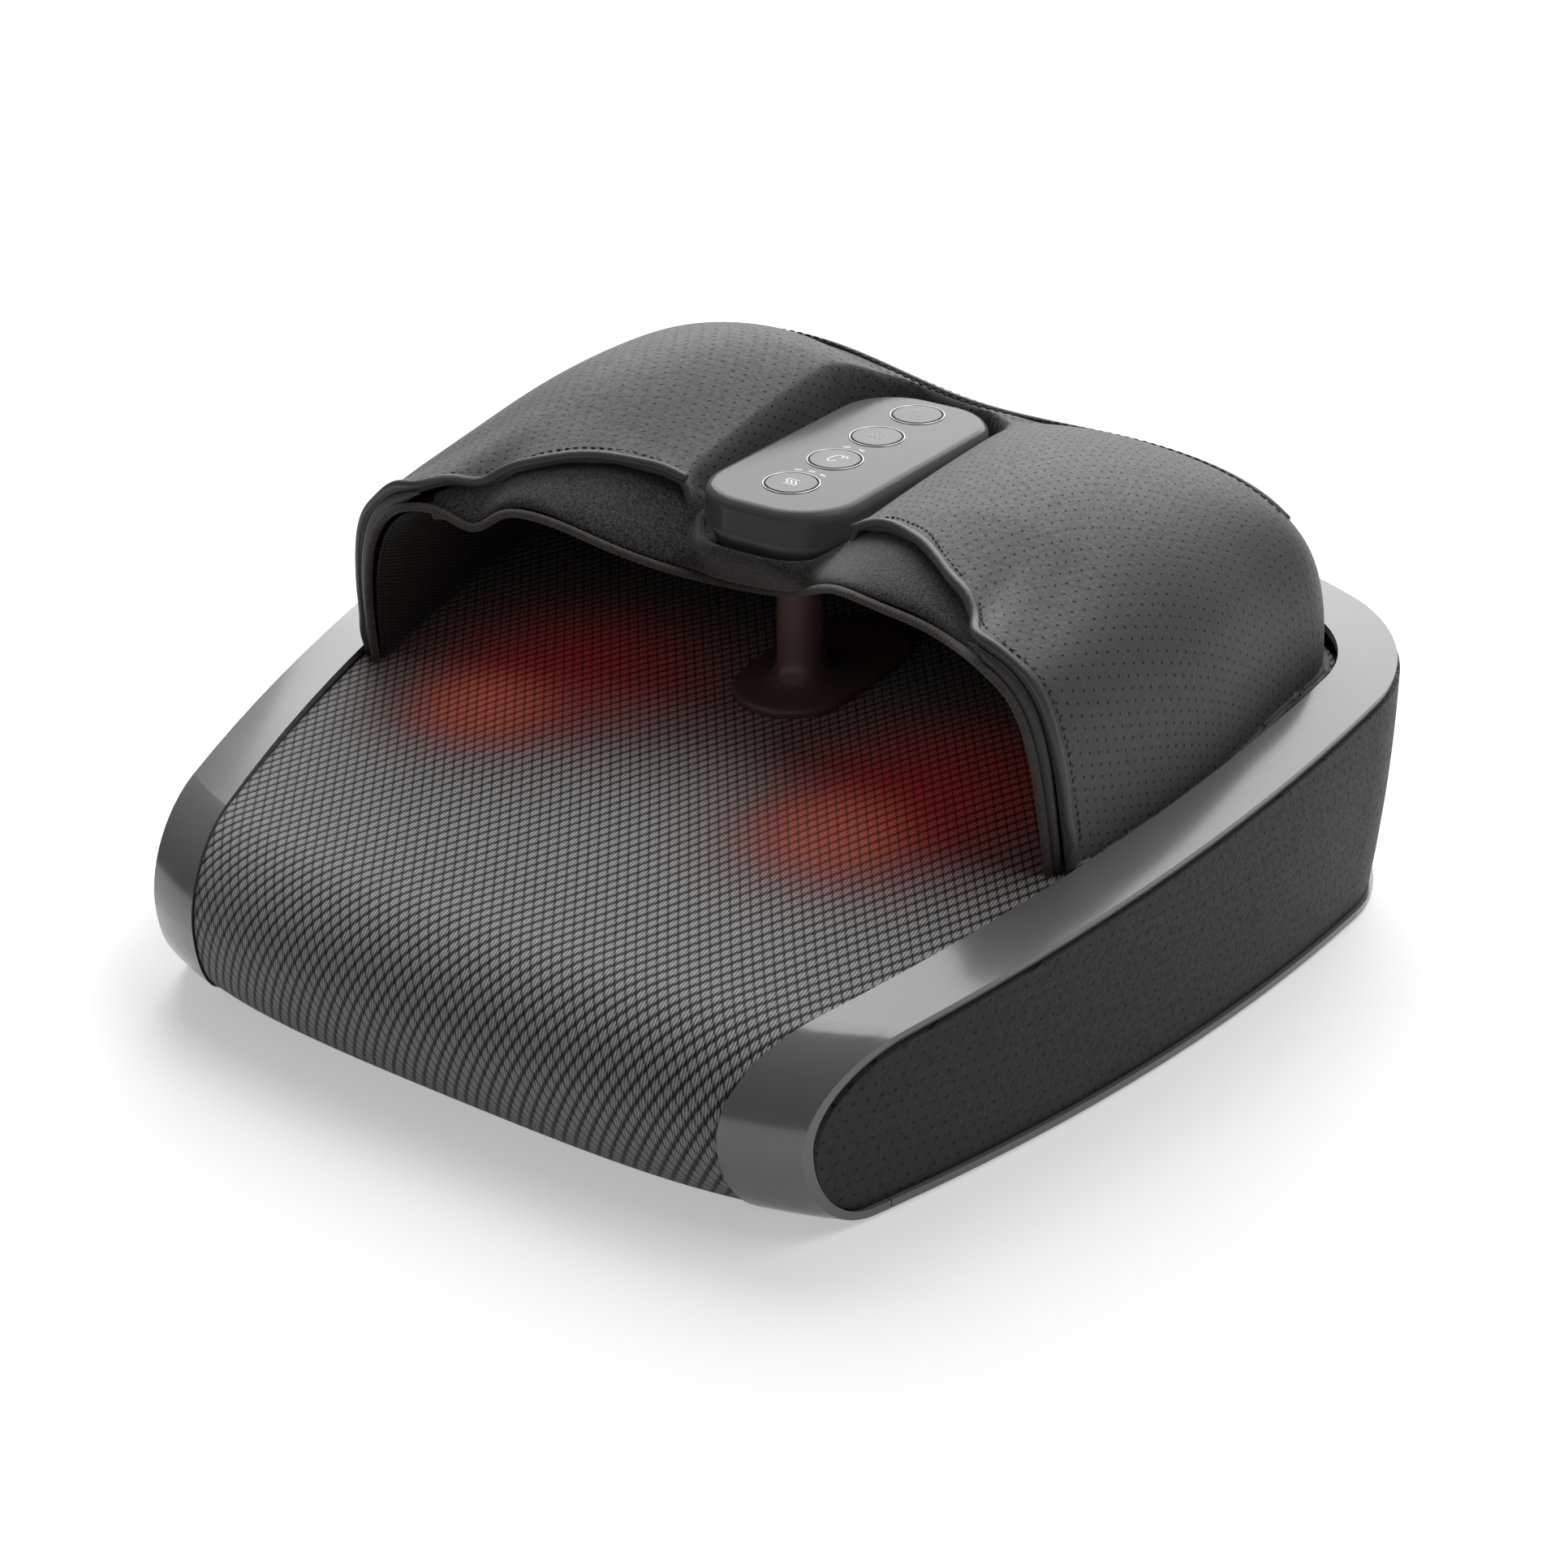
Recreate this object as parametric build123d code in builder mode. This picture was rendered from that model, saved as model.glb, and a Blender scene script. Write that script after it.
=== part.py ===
from build123d import *
import os
from math import atan2, cos, degrees, hypot, pi, radians, sin, sqrt, tan

# Shiatsu foot massager with a soft hood over the toes, a control pod on a post and
# geared massage heads under a mesh footbed. Millimetres, Z up, front nose towards -Y.
# The origin lies on the floor under the middle of the whole object.

os.makedirs("parts", exist_ok=True)

# Overall sizes and the gaps that every piece shares
overall_width = 400.0
overall_depth = 398.0
floor_gap = 1.5
cut_overrun = 20.0
fit_gap = 0.4
soft_gap = 0.3
running_gap = 0.05
wall = 2.5

# Plan outline of the trim rail: side arc, corner arc and back arc
side_arc_radius = 842.7
widest_place = 125.75
corner_radius = 64.0
back_arc_radius = 430.4
rail_width = 22.0
rail_skin = 3.0

# Nose of the rail and footbed, seen from the side
nose_height = 36.2
nose_top_reach = 38.1
nose_top_rise = 32.35
nose_bottom_reach = 22.1
rail_slope = 8.35
rail_rear_height = 112.0
nose_sweep = 57.4
nose_square_share = 0.1
lobe_length = 29.0
lobe_reach_share = 0.75

# Side panel
panel_thickness = 3.0
panel_bulge = 1.5
panel_bulge_height = 60.0
panel_foot_draw = 2.0
panel_top = 120.0

# Footbed under the mesh
mesh_drop = 1.0
mesh_thickness = 2.2
mesh_wrap = 48.0
bed_middle_slope = 4.2
bed_edge_slope = 8.1
bed_middle_rear_height = 88.0
bed_edge_rear_height = 107.0

# Hood over the toes
hood_front = -62.0
hood_back = 178.0
hood_height = 186.0
hood_hump_reach = 76.0
hood_wall_lean = 2.5
hood_shoulder_inset = 13.0
leather_thickness = 2.8
lining_depth = 7.6
lining_thickness = 1.5
binding_radius = 2.2

# Control pod, its post and its four buttons
pod_width = 64.0
pod_length = 132.0
pod_front = -9.5
pod_corner = 25.0
pod_top_height = 163.0
pod_seam_height = 150.0
pod_bottom_height = 139.5
pod_base_taper = 24.0
pod_edge_round = 4.0
post_radius = 9.0
post_place = 23.0
post_wall = 2.5
flange_width = 48.0
flange_length = 88.0
flange_front = -4.7
flange_height = 82.0
flange_thickness = 4.5
button_radius = 9.8
button_gap = 0.3
button_pitch = 28.8
button_front = 17.3
button_travel = 1.0
button_proud = 0.4

# Massage mechanism
gear_module = 3.0
head_teeth = 18
pinion_teeth = 12
worm_wheel_module = 2.5
worm_wheel_teeth = 24
worm_pitch_radius = 9.0
head_first = (70.0, 10.0)
head_offset = (42.0, 34.0)
node_ring = 15.5
node_radius = 10.5
head_top = 71.0

half_width = overall_width / 2
nose_place = -overall_depth / 2
rail_back = overall_depth / 2 - panel_bulge
nose_bottom_drop = nose_height - floor_gap


def save(piece, name):
    """Name a finished piece and write it to its own file."""
    piece.label = name
    export_step(piece, "parts/" + name + ".step")


def nose_shift(x):
    """How far the nose lies behind its middle, at x from the centre plane."""
    share = abs(x) / half_width
    return nose_sweep * (nose_square_share * share**2 + (1 - nose_square_share) * share**4)


def nose_shift_slope(x):
    """Slope of nose_shift, for the end of the nose line."""
    share = abs(x) / half_width
    shares = 2 * nose_square_share * share + 4 * (1 - nose_square_share) * share**3
    return nose_sweep * shares / half_width


def side_profile(inset, slope, rear_height, shift):
    """Closed outline seen from the side: flat underside, two quarter ellipses at the nose, rising top."""
    reach = nose_top_reach - inset
    rise = nose_top_rise - inset
    turn = atan2(rise, reach * tan(radians(slope)))
    front = nose_place + shift
    back = rail_back + cut_overrun + nose_sweep
    low = floor_gap + inset
    top_start = (front + nose_top_reach - reach * cos(turn), nose_height + rise * sin(turn))
    top_end = (back, rear_height - inset)
    Line((back, low), (front + nose_bottom_reach, low))
    EllipticalCenterArc((front + nose_bottom_reach, nose_height), nose_bottom_reach - inset,
                        nose_bottom_drop - inset, 180, arc_size=90)
    EllipticalCenterArc((front + nose_top_reach, nose_height), reach, rise,
                        180 - degrees(turn), arc_size=degrees(turn))
    TangentArc(top_start, top_end, tangent=(cos(radians(slope)), sin(radians(slope))))
    Line(top_end, (back, low))


# The nose line that the rail's side profile is carried along, without turning
with BuildLine(Plane.XY) as nose_line:
    nose_line_shares = (0.0, 0.3, 0.6, 0.8, 1.0)
    nose_line_reach = half_width + cut_overrun
    Spline(*[(share * nose_line_reach, nose_shift(share * nose_line_reach)) for share in nose_line_shares],
           tangents=[(1, 0), (1, nose_shift_slope(nose_line_reach))])


def rail_form(inset):
    """Right half of the solid whose skin is the rail's top, nose and underside, moved inwards by inset."""
    with BuildPart() as form:
        with BuildSketch(Plane.YZ):
            with BuildLine():
                side_profile(inset, rail_slope, rail_rear_height, 0)
            make_face()
        sweep(path=nose_line.line, normal=(1, 0, 0))
    return form.part


def bed_share(x):
    """Nought along the middle of the footbed, one at the full half width."""
    return (x / half_width)**2


def bed_slope(x):
    """First rise of the footbed in degrees: gentle along the middle, steeper towards the rails."""
    return bed_middle_slope + (bed_edge_slope - bed_middle_slope) * bed_share(x)


def bed_rear_height(x):
    """Height at the far end of the footbed's top line."""
    return bed_middle_rear_height + (bed_edge_rear_height - bed_middle_rear_height) * bed_share(x)


bed_stations = [share * half_width for share in (-1.0, -0.75, -0.5, -0.25, 0.0, 0.25, 0.5, 0.75, 1.0)]


def bed_form(inset):
    """Solid under the mesh surface, lofted across the width so that the middle is dished."""
    with BuildPart() as form:
        for x in bed_stations:
            with BuildSketch(Plane.YZ.offset(x)):
                with BuildLine():
                    side_profile(inset, bed_slope(x), bed_rear_height(x), nose_shift(x))
                make_face()
        loft()
    return form.part


# Arc centres of the plan outline. Moving the outline in or out leaves them where they are.
side_centre = (half_width - side_arc_radius, widest_place)
back_centre = (0, rail_back - back_arc_radius)
side_to_corner = side_arc_radius - corner_radius
back_to_corner = back_arc_radius - corner_radius
centre_run = (back_centre[0] - side_centre[0], back_centre[1] - side_centre[1])
centre_distance = hypot(*centre_run)
along = (side_to_corner**2 - back_to_corner**2 + centre_distance**2) / (2 * centre_distance)
across = sqrt(side_to_corner**2 - along**2)
corner_centre = (side_centre[0] + (centre_run[0] * along - centre_run[1] * across) / centre_distance,
                 side_centre[1] + (centre_run[1] * along + centre_run[0] * across) / centre_distance)
side_end_angle = atan2(corner_centre[1] - side_centre[1], corner_centre[0] - side_centre[0])
back_start_angle = atan2(corner_centre[1] - back_centre[1], corner_centre[0] - back_centre[0])
outline_front = nose_place - cut_overrun


def outline_reach(y, margin):
    """Half width of the plan outline at y, moved outwards by margin."""
    side_end = side_centre[1] + (side_arc_radius + margin) * sin(side_end_angle)
    if y < side_end:
        return side_centre[0] + sqrt((side_arc_radius + margin)**2 - (y - side_centre[1])**2)
    return corner_centre[0] + sqrt(max((corner_radius + margin)**2 - (y - corner_centre[1])**2, 0))


def outline_arcs(margin):
    """Right half of the plan outline from the front to the middle of the back."""
    start_angle = atan2(outline_front - side_centre[1], outline_reach(outline_front, margin) - side_centre[0])
    CenterArc(side_centre, side_arc_radius + margin, degrees(start_angle),
              degrees(side_end_angle - start_angle))
    CenterArc(corner_centre, corner_radius + margin, degrees(side_end_angle),
              degrees(back_start_angle - side_end_angle))
    CenterArc(back_centre, back_arc_radius + margin, degrees(back_start_angle),
              90 - degrees(back_start_angle))


def half_prism(margin, low, high):
    """Upright block inside the right half of the plan outline."""
    with BuildPart() as block:
        with BuildSketch(Plane.XY.offset(low)):
            with BuildLine():
                outline_arcs(margin)
                Polyline((0, rail_back + margin), (0, outline_front),
                         (outline_reach(outline_front, margin), outline_front))
            make_face()
        extrude(amount=high - low)
    return block.part


def whole_prism(margin, low, high):
    """Upright block inside the whole plan outline."""
    half = half_prism(margin, low, high)
    with BuildPart() as block:
        add(half)
        mirror(about=Plane.YZ)
    return block.part


def slab(low, high, front, back):
    """Wide block between two heights and two places along Y."""
    with BuildPart() as block:
        with BuildSketch(Plane.XY.offset(low)):
            with Locations((0, (front + back) / 2)):
                Rectangle(overall_width + 2 * cut_overrun, back - front)
        extrude(amount=high - low)
    return block.part


form_top = hood_height + cut_overrun
tray_inset = rail_skin + fit_gap
tray_margin = -(panel_thickness + fit_gap)
deck_inset = mesh_drop + mesh_thickness + soft_gap
lobe_joint = nose_place + nose_shift(half_width * lobe_reach_share) + lobe_length
front_end = nose_place - cut_overrun
back_end = rail_back + 2 * cut_overrun

rail_outer_form = rail_form(0)
rail_inner_form = rail_form(rail_skin)
tray_outer_form = rail_form(tray_inset)
tray_inner_form = rail_form(tray_inset + wall)
outline_block = half_prism(0, -cut_overrun, form_top)
bed_block = half_prism(-rail_width, -cut_overrun, form_top)

# Glossy trim rail: a flat band round the sides and back, wrapped down and under at each front end
under_joint = slab(-cut_overrun, nose_height, lobe_joint, back_end)
with BuildPart() as trim_rail:
    add(outline_block)
    add(bed_block, mode=Mode.SUBTRACT)
    add(rail_outer_form, mode=Mode.INTERSECT)
    add(rail_inner_form, mode=Mode.SUBTRACT)
    add(under_joint, mode=Mode.SUBTRACT)
    mirror(about=Plane.YZ)
save(trim_rail.part, "trim_rail")

# Lower trim strip, which carries the band on along the bottom edge behind the joint
behind_joint = slab(-cut_overrun, nose_height, lobe_joint + fit_gap, back_end)
with BuildPart() as lower_trim:
    add(outline_block)
    add(bed_block, mode=Mode.SUBTRACT)
    add(rail_outer_form, mode=Mode.INTERSECT)
    add(rail_inner_form, mode=Mode.SUBTRACT)
    add(behind_joint, mode=Mode.INTERSECT)
    mirror(about=Plane.YZ)
save(lower_trim.part, "lower_trim")

# Side panel: one strip round both sides and the back, slightly bulged at mid height
with BuildLine(Plane.XY) as outline_path:
    outline_arcs(0)
path_start = outline_path.line @ 0
path_tangent = outline_path.line % 0
panel_plane = Plane(origin=path_start, x_dir=(path_tangent.Y, -path_tangent.X, 0), z_dir=-path_tangent)
with BuildPart() as side_panel:
    with BuildSketch(panel_plane):
        with BuildLine():
            ThreePointArc((-panel_foot_draw, floor_gap), (panel_bulge, panel_bulge_height), (0, panel_top))
            Polyline((0, panel_top), (-panel_thickness, panel_top), (-panel_thickness, floor_gap),
                     (-panel_foot_draw, floor_gap))
        make_face()
    sweep(path=outline_path.line)
    add(tray_outer_form, mode=Mode.INTERSECT)
    mirror(about=Plane.YZ)

# Base tray: floor, lower half of the nose and side walls that reach up under the rail
tray_floor = floor_gap + tray_inset + wall
tray_bottom = floor_gap + tray_inset
post_places = [(-140.0, -105.0), (140.0, -105.0), (-155.0, 30.0), (155.0, 30.0),
               (-120.0, 150.0), (120.0, 150.0)]
post_boss_radius = 6.0
screw_head_radius = 3.6
screw_head_height = 2.4
screw_radius = 1.6
screw_length = 14.0
screw_recess = 7.0
foot_radius = 11.0
foot_places = [(-124.0, -125.0), (124.0, -125.0), (-150.0, 115.0), (150.0, 115.0)]
vent_slot = (26.0, 3.0)
vent_pitch = 7.0
vent_count = 6
inlet_height = 24.0
inlet_barrel_radius = 5.4
inlet_bore_radius = 2.75
inlet_bore_depth = 9.5
inlet_body_width = 14.0
inlet_body_length = 12.0

deck_under_form = bed_form(deck_inset + wall + fit_gap)
nose_half = slab(-cut_overrun, nose_height, front_end, back_end)
tray_block = half_prism(tray_margin, -cut_overrun, form_top)
tray_room = half_prism(tray_margin - wall, -cut_overrun, form_top)

with BuildPart() as tray_posts:
    with BuildSketch(Plane.XY.offset(tray_floor - wall)):
        with Locations(*post_places):
            Circle(post_boss_radius)
    extrude(amount=form_top)
    add(deck_under_form, mode=Mode.INTERSECT)
    with BuildSketch(Plane.XY.offset(tray_bottom)):
        with Locations(*post_places):
            Circle(post_boss_radius)
    extrude(amount=screw_recess + screw_length)

with BuildPart() as base_tray:
    add(tray_outer_form)
    add(tray_block, mode=Mode.INTERSECT)
    add(tray_inner_form, mode=Mode.SUBTRACT)
    add(nose_half, mode=Mode.INTERSECT)
    mirror(about=Plane.YZ)
with BuildPart() as tray_walls:
    add(tray_block)
    add(tray_room, mode=Mode.SUBTRACT)
    add(tray_outer_form, mode=Mode.INTERSECT)
    mirror(about=Plane.YZ)
with base_tray:
    add(tray_walls.part)
    add(tray_posts.part)
    with BuildSketch(Plane.XY.offset(tray_bottom)):
        with Locations(*post_places):
            Circle(screw_head_radius + fit_gap)
    extrude(amount=screw_recess, mode=Mode.SUBTRACT)
    with BuildSketch(Plane.XY.offset(tray_bottom)):
        with Locations(*post_places):
            Circle(screw_radius + running_gap)
    extrude(amount=screw_recess + screw_length, mode=Mode.SUBTRACT)
    with BuildSketch(Plane.XY.offset(tray_bottom)):
        with GridLocations(vent_pitch, vent_pitch, vent_count, 1):
            SlotOverall(*vent_slot, rotation=90)
    extrude(amount=2 * wall, mode=Mode.SUBTRACT)
    with BuildSketch(Plane.XZ.offset(-rail_back)):
        with Locations((0, inlet_height)):
            Circle(inlet_barrel_radius + fit_gap)
    extrude(amount=inlet_body_length, both=True, mode=Mode.SUBTRACT)

# The same inlet hole through the side panel
with side_panel:
    with BuildSketch(Plane.XZ.offset(-rail_back)):
        with Locations((0, inlet_height)):
            Circle(inlet_barrel_radius + fit_gap)
    extrude(amount=inlet_body_length, both=True, mode=Mode.SUBTRACT)
save(side_panel.part, "side_panel")

# Six identical screws that hold the tray's posts to the deck, heads sunk in the underside
with BuildPart() as base_screws:
    with BuildSketch(Plane.XY.offset(tray_bottom + screw_recess - screw_head_height)):
        with Locations(*post_places):
            Circle(screw_head_radius)
    extrude(amount=screw_head_height)
    with BuildSketch(Plane.XY.offset(tray_bottom + screw_recess)):
        with Locations(*post_places):
            Circle(screw_radius)
    extrude(amount=screw_length - fit_gap)
save(base_screws.part, "base_screws")

# Four rubber feet under the tray
with BuildPart() as rubber_feet:
    with BuildSketch():
        with Locations(*foot_places):
            Circle(foot_radius)
    extrude(amount=tray_bottom)
    chamfer(rubber_feet.edges().group_by(Axis.Z)[0], floor_gap / 2)
save(rubber_feet.part, "rubber_feet")

# Power inlet: a barrel socket through the back of the tray and panel
inlet_back = rail_back - fit_gap
with BuildPart() as power_inlet:
    with BuildSketch(Plane.XZ.offset(-inlet_back)):
        with Locations((0, inlet_height)):
            Circle(inlet_barrel_radius)
    extrude(amount=inlet_body_length)
    with BuildSketch(Plane.XZ.offset(-(rail_back - panel_thickness - 2 * wall))):
        with Locations((0, inlet_height)):
            Rectangle(inlet_body_width, inlet_body_width)
    extrude(amount=inlet_body_length)
    with BuildSketch(Plane.XZ.offset(-inlet_back)):
        with Locations((0, inlet_height)):
            Circle(inlet_bore_radius)
    extrude(amount=inlet_bore_depth, mode=Mode.SUBTRACT)
save(power_inlet.part, "power_inlet")

# Pod, post and flange outlines that several pieces share
pod_middle = pod_front + pod_length / 2
flange_middle = flange_front + flange_length / 2
flange_proud = 2.5


def oval_block(width, length, middle, low, high):
    """Upright block with round ends on the centre line."""
    with BuildPart() as block:
        with BuildSketch(Plane.XY.offset(low)):
            with Locations((0, middle)):
                SlotOverall(length, width, rotation=90)
        extrude(amount=high - low)
    return block.part


def pod_block(margin, low, high):
    """Upright block with the pod's outline, moved outwards by margin."""
    with BuildPart() as block:
        with BuildSketch(Plane.XY.offset(low)):
            with Locations((0, pod_middle)):
                RectangleRounded(pod_width + 2 * margin, pod_length + 2 * margin, pod_corner + margin)
        extrude(amount=high - low)
    return block.part


# Deck: the hard shell under the footbed, with a three-lobed window over each set of heads
heads_right = [head_first,
               (head_first[0] + head_offset[0], head_first[1] - head_offset[1]),
               (head_first[0], head_first[1] - 2 * head_offset[1])]
heads_left = [(-x, y) for x, y in heads_right]
window_radius = node_ring + node_radius + 3 * fit_gap
deck_outer_form = bed_form(deck_inset)
deck_inner_form = bed_form(deck_inset + wall)
deck_block = whole_prism(tray_margin - wall - fit_gap, nose_height + fit_gap, form_top)
post_hole_radius = post_radius - post_wall
with BuildPart() as deck:
    add(deck_outer_form)
    add(deck_block, mode=Mode.INTERSECT)
    add(deck_inner_form, mode=Mode.SUBTRACT)
    with BuildSketch(Plane.XY.offset(nose_height)):
        with Locations(*heads_right, *heads_left):
            Circle(window_radius)
    extrude(amount=form_top, mode=Mode.SUBTRACT)
    with BuildSketch(Plane.XY.offset(nose_height)):
        with Locations((0, post_place)):
            Circle(post_hole_radius)
    extrude(amount=form_top, mode=Mode.SUBTRACT)
save(deck.part, "deck")

# Footbed cover: coarse mesh stretched between the rails and wrapped under the nose
mesh_outer_form = bed_form(mesh_drop)
mesh_inner_form = bed_form(mesh_drop + mesh_thickness)
mesh_block = whole_prism(-(rail_width + soft_gap), -cut_overrun, form_top)
mesh_under = slab(-cut_overrun, nose_height, nose_place + mesh_wrap, back_end)
flange_hole = oval_block(flange_width + 2 * soft_gap, flange_length + 2 * soft_gap, flange_middle,
                         nose_height, form_top)
with BuildPart() as footbed_cover:
    add(mesh_outer_form)
    add(mesh_block, mode=Mode.INTERSECT)
    add(mesh_inner_form, mode=Mode.SUBTRACT)
    add(mesh_under, mode=Mode.SUBTRACT)
    add(flange_hole, mode=Mode.SUBTRACT)
save(footbed_cover.part, "footbed_cover")

# Support post: a tube standing on a long oval foot plate that follows the footbed
flange_form = bed_form(-flange_proud)
flange_block = oval_block(flange_width, flange_length, flange_middle, nose_height, form_top)
with BuildPart() as support_post:
    add(flange_form)
    add(flange_block, mode=Mode.INTERSECT)
    with BuildSketch(Plane.XY.offset(nose_height)):
        with Locations((0, post_place)):
            Circle(post_radius)
    extrude(amount=pod_bottom_height - nose_height)
    add(deck_outer_form, mode=Mode.SUBTRACT)
    with BuildSketch(Plane.XY.offset(nose_height)):
        with Locations((0, post_place)):
            Circle(post_hole_radius)
    extrude(amount=form_top, mode=Mode.SUBTRACT)
save(support_post.part, "support_post")

# Hood over the toes. Each row: place along the hood, width, shoulder, hump and middle heights, as shares
hood_station_shares = [
    (0.00, 1.00, 0.720, 0.815, 0.770),
    (0.175, 1.00, 0.780, 0.890, 0.810),
    (0.43, 1.00, 0.845, 0.985, 0.830),
    (0.605, 1.00, 0.850, 1.000, 0.850),
    (0.81, 0.98, 0.770, 0.895, 0.872),
    (0.917, 0.93, 0.680, 0.790, 0.790),
    (1.00, 0.84, 0.590, 0.665, 0.665),
]
hood_length = hood_back - hood_front
hood_hem = nose_height


def hood_form(inset):
    """Solid under the hood's skin, moved inwards by inset: two humps with a dip between them."""
    with BuildPart() as form:
        for place, width, shoulder, hump, middle in hood_station_shares:
            y = hood_front + place * hood_length
            reach = width * outline_reach(y, -(rail_width + soft_gap)) - inset
            shoulder_height = shoulder * hood_height - inset
            side = [(reach - hood_wall_lean, (hood_hem + shoulder_height) / 2),
                    (reach - hood_shoulder_inset, shoulder_height),
                    (hood_hump_reach, hump * hood_height - inset)]
            with BuildSketch(Plane.XZ.offset(-y)):
                with BuildLine():
                    Spline((reach, hood_hem), *side, (0, middle * hood_height - inset),
                           *[(-x, z) for x, z in reversed(side)], (-reach, hood_hem))
                    Line((-reach, hood_hem), (reach, hood_hem))
                make_face()
        loft()
    return form.part


# Front edge of the leather seen from above: back to the pod in the middle, forward at the sides
leather_edge = [(130.0, -75.0), (113.0, -38.0), (95.0, -17.0), (60.0, -1.0)]
leather_edge_middle = 6.0
collar_tuck = 11.0


def edge_block(back):
    """Block in front of the leather's front edge, its edge moved back by the given distance."""
    with BuildPart() as block:
        with BuildSketch(Plane.XY.offset(hood_hem)):
            with BuildLine():
                Spline(*[(-x, y + back) for x, y in leather_edge], (0, leather_edge_middle + back),
                       *[(x, y + back) for x, y in reversed(leather_edge)])
                Polyline((leather_edge[0][0], leather_edge[0][1] + back), (leather_edge[0][0], front_end),
                         (-leather_edge[0][0], front_end), (-leather_edge[0][0], leather_edge[0][1] + back))
            make_face()
        extrude(amount=form_top)
    return block.part


def hood_skin(depth, thickness):
    """Shell of the hood from depth to depth + thickness below its outside, open underneath."""
    outer = hood_form(depth)
    inner = hood_form(depth + thickness)
    outer_block = whole_prism(-(rail_width + soft_gap + depth), -cut_overrun, form_top)
    inner_block = whole_prism(-(rail_width + soft_gap + depth + thickness), -2 * cut_overrun,
                              form_top + cut_overrun)
    with BuildPart() as room:
        add(inner)
        add(inner_block, mode=Mode.INTERSECT)
    with BuildPart() as skin:
        add(outer)
        add(outer_block, mode=Mode.INTERSECT)
        add(room.part, mode=Mode.SUBTRACT)
        add(hem_form, mode=Mode.SUBTRACT)
        add(pod_slot, mode=Mode.SUBTRACT)
    return skin.part


hem_form = bed_form(mesh_drop - soft_gap)
pod_slot = pod_block(2 * soft_gap, pod_bottom_height - soft_gap, form_top)

leather_skin = hood_skin(0, leather_thickness)
leather_front = edge_block(0)
with BuildPart() as hood_cover:
    add(leather_skin)
    add(leather_front, mode=Mode.SUBTRACT)
save(hood_cover.part, "hood_cover")

lining_skin = hood_skin(lining_depth, lining_thickness)
lining_front = edge_block(collar_tuck)
with BuildPart() as hood_lining:
    add(lining_skin)
    add(lining_front, mode=Mode.SUBTRACT)
save(hood_lining.part, "hood_lining")

# Air cells between leather and lining, one over each foot
cell_depth = leather_thickness + soft_gap
cell_thickness = lining_depth - cell_depth - soft_gap
cell_inner = 44.0
cell_outer = 140.0
cell_front = 16.0
cell_back = 118.0
cell_round = 20.0
cell_skin = hood_skin(cell_depth, cell_thickness)
for side_name, side in (("left", -1), ("right", 1)):
    with BuildPart() as air_cell:
        with BuildSketch(Plane.XY.offset(bed_edge_rear_height)):
            with Locations((side * (cell_inner + cell_outer) / 2, (cell_front + cell_back) / 2)):
                RectangleRounded(cell_outer - cell_inner, cell_back - cell_front, cell_round)
        extrude(amount=form_top)
        add(cell_skin, mode=Mode.INTERSECT)
    save(air_cell.part, "air_cell_" + side_name)

# Fleece collar: fills the scallop between the leather's edge and the opening's rim.
# Each row: place across, then back edge and front edge, seen from the side
collar_stations = [(0.0, (3.0, 137.5), (9.0, 122.5)),
                   (32.0, (11.0, 151.5), (-13.0, 136.0)),
                   (62.0, (6.0, 162.5), (-32.0, 148.5)),
                   (92.0, (-9.0, 155.5), (-36.0, 149.5)),
                   (117.0, (-33.0, 146.5), (-45.0, 144.0))]
collar_thickness = 4.0
collar_crown = 1.5


def collar_section(back, front):
    """Closed strip seen from the side, crowned a little on top."""
    run = (back[0] - front[0], back[1] - front[1])
    length = hypot(*run)
    up = (-run[1] / length, run[0] / length)
    middle = ((back[0] + front[0]) / 2, (back[1] + front[1]) / 2)
    low_back = (back[0] - up[0] * collar_thickness, back[1] - up[1] * collar_thickness)
    low_front = (front[0] - up[0] * collar_thickness, front[1] - up[1] * collar_thickness)
    low_depth = collar_thickness - collar_crown
    low_middle = (middle[0] - up[0] * low_depth, middle[1] - up[1] * low_depth)
    ThreePointArc(back, (middle[0] + up[0] * collar_crown, middle[1] + up[1] * collar_crown), front)
    Line(front, low_front)
    ThreePointArc(low_front, low_middle, low_back)
    Line(low_back, back)


with BuildPart() as fleece_collar:
    left_stations = [(-x, back, front) for x, back, front in reversed(collar_stations[1:])]
    for x, back, front in left_stations + collar_stations:
        with BuildSketch(Plane.YZ.offset(x)):
            with BuildLine():
                collar_section(back, front)
            make_face()
    loft()
    add(pod_slot, mode=Mode.SUBTRACT)
save(fleece_collar.part, "fleece_collar")

# Pod: lower shell on the post, top shell with the buttons
pod_wall = 2.5
pod_floor_top = pod_bottom_height + pod_wall
with BuildPart() as pod_base:
    with BuildSketch(Plane.XY.offset(pod_seam_height)):
        with Locations((0, pod_middle)):
            RectangleRounded(pod_width, pod_length, pod_corner)
    extrude(amount=-(pod_seam_height - pod_bottom_height), taper=pod_base_taper)
    fillet(pod_base.edges().group_by(Axis.Z)[0], pod_wall)
    with BuildSketch(Plane.XY.offset(pod_seam_height)):
        with Locations((0, pod_middle)):
            RectangleRounded(pod_width - 2 * pod_wall, pod_length - 2 * pod_wall, pod_corner - pod_wall)
    extrude(amount=-(pod_seam_height - pod_floor_top), taper=pod_base_taper, mode=Mode.SUBTRACT)
    with BuildSketch(Plane.XY.offset(pod_bottom_height)):
        with Locations((0, post_place)):
            Circle(post_hole_radius)
    extrude(amount=pod_wall, mode=Mode.SUBTRACT)

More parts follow.
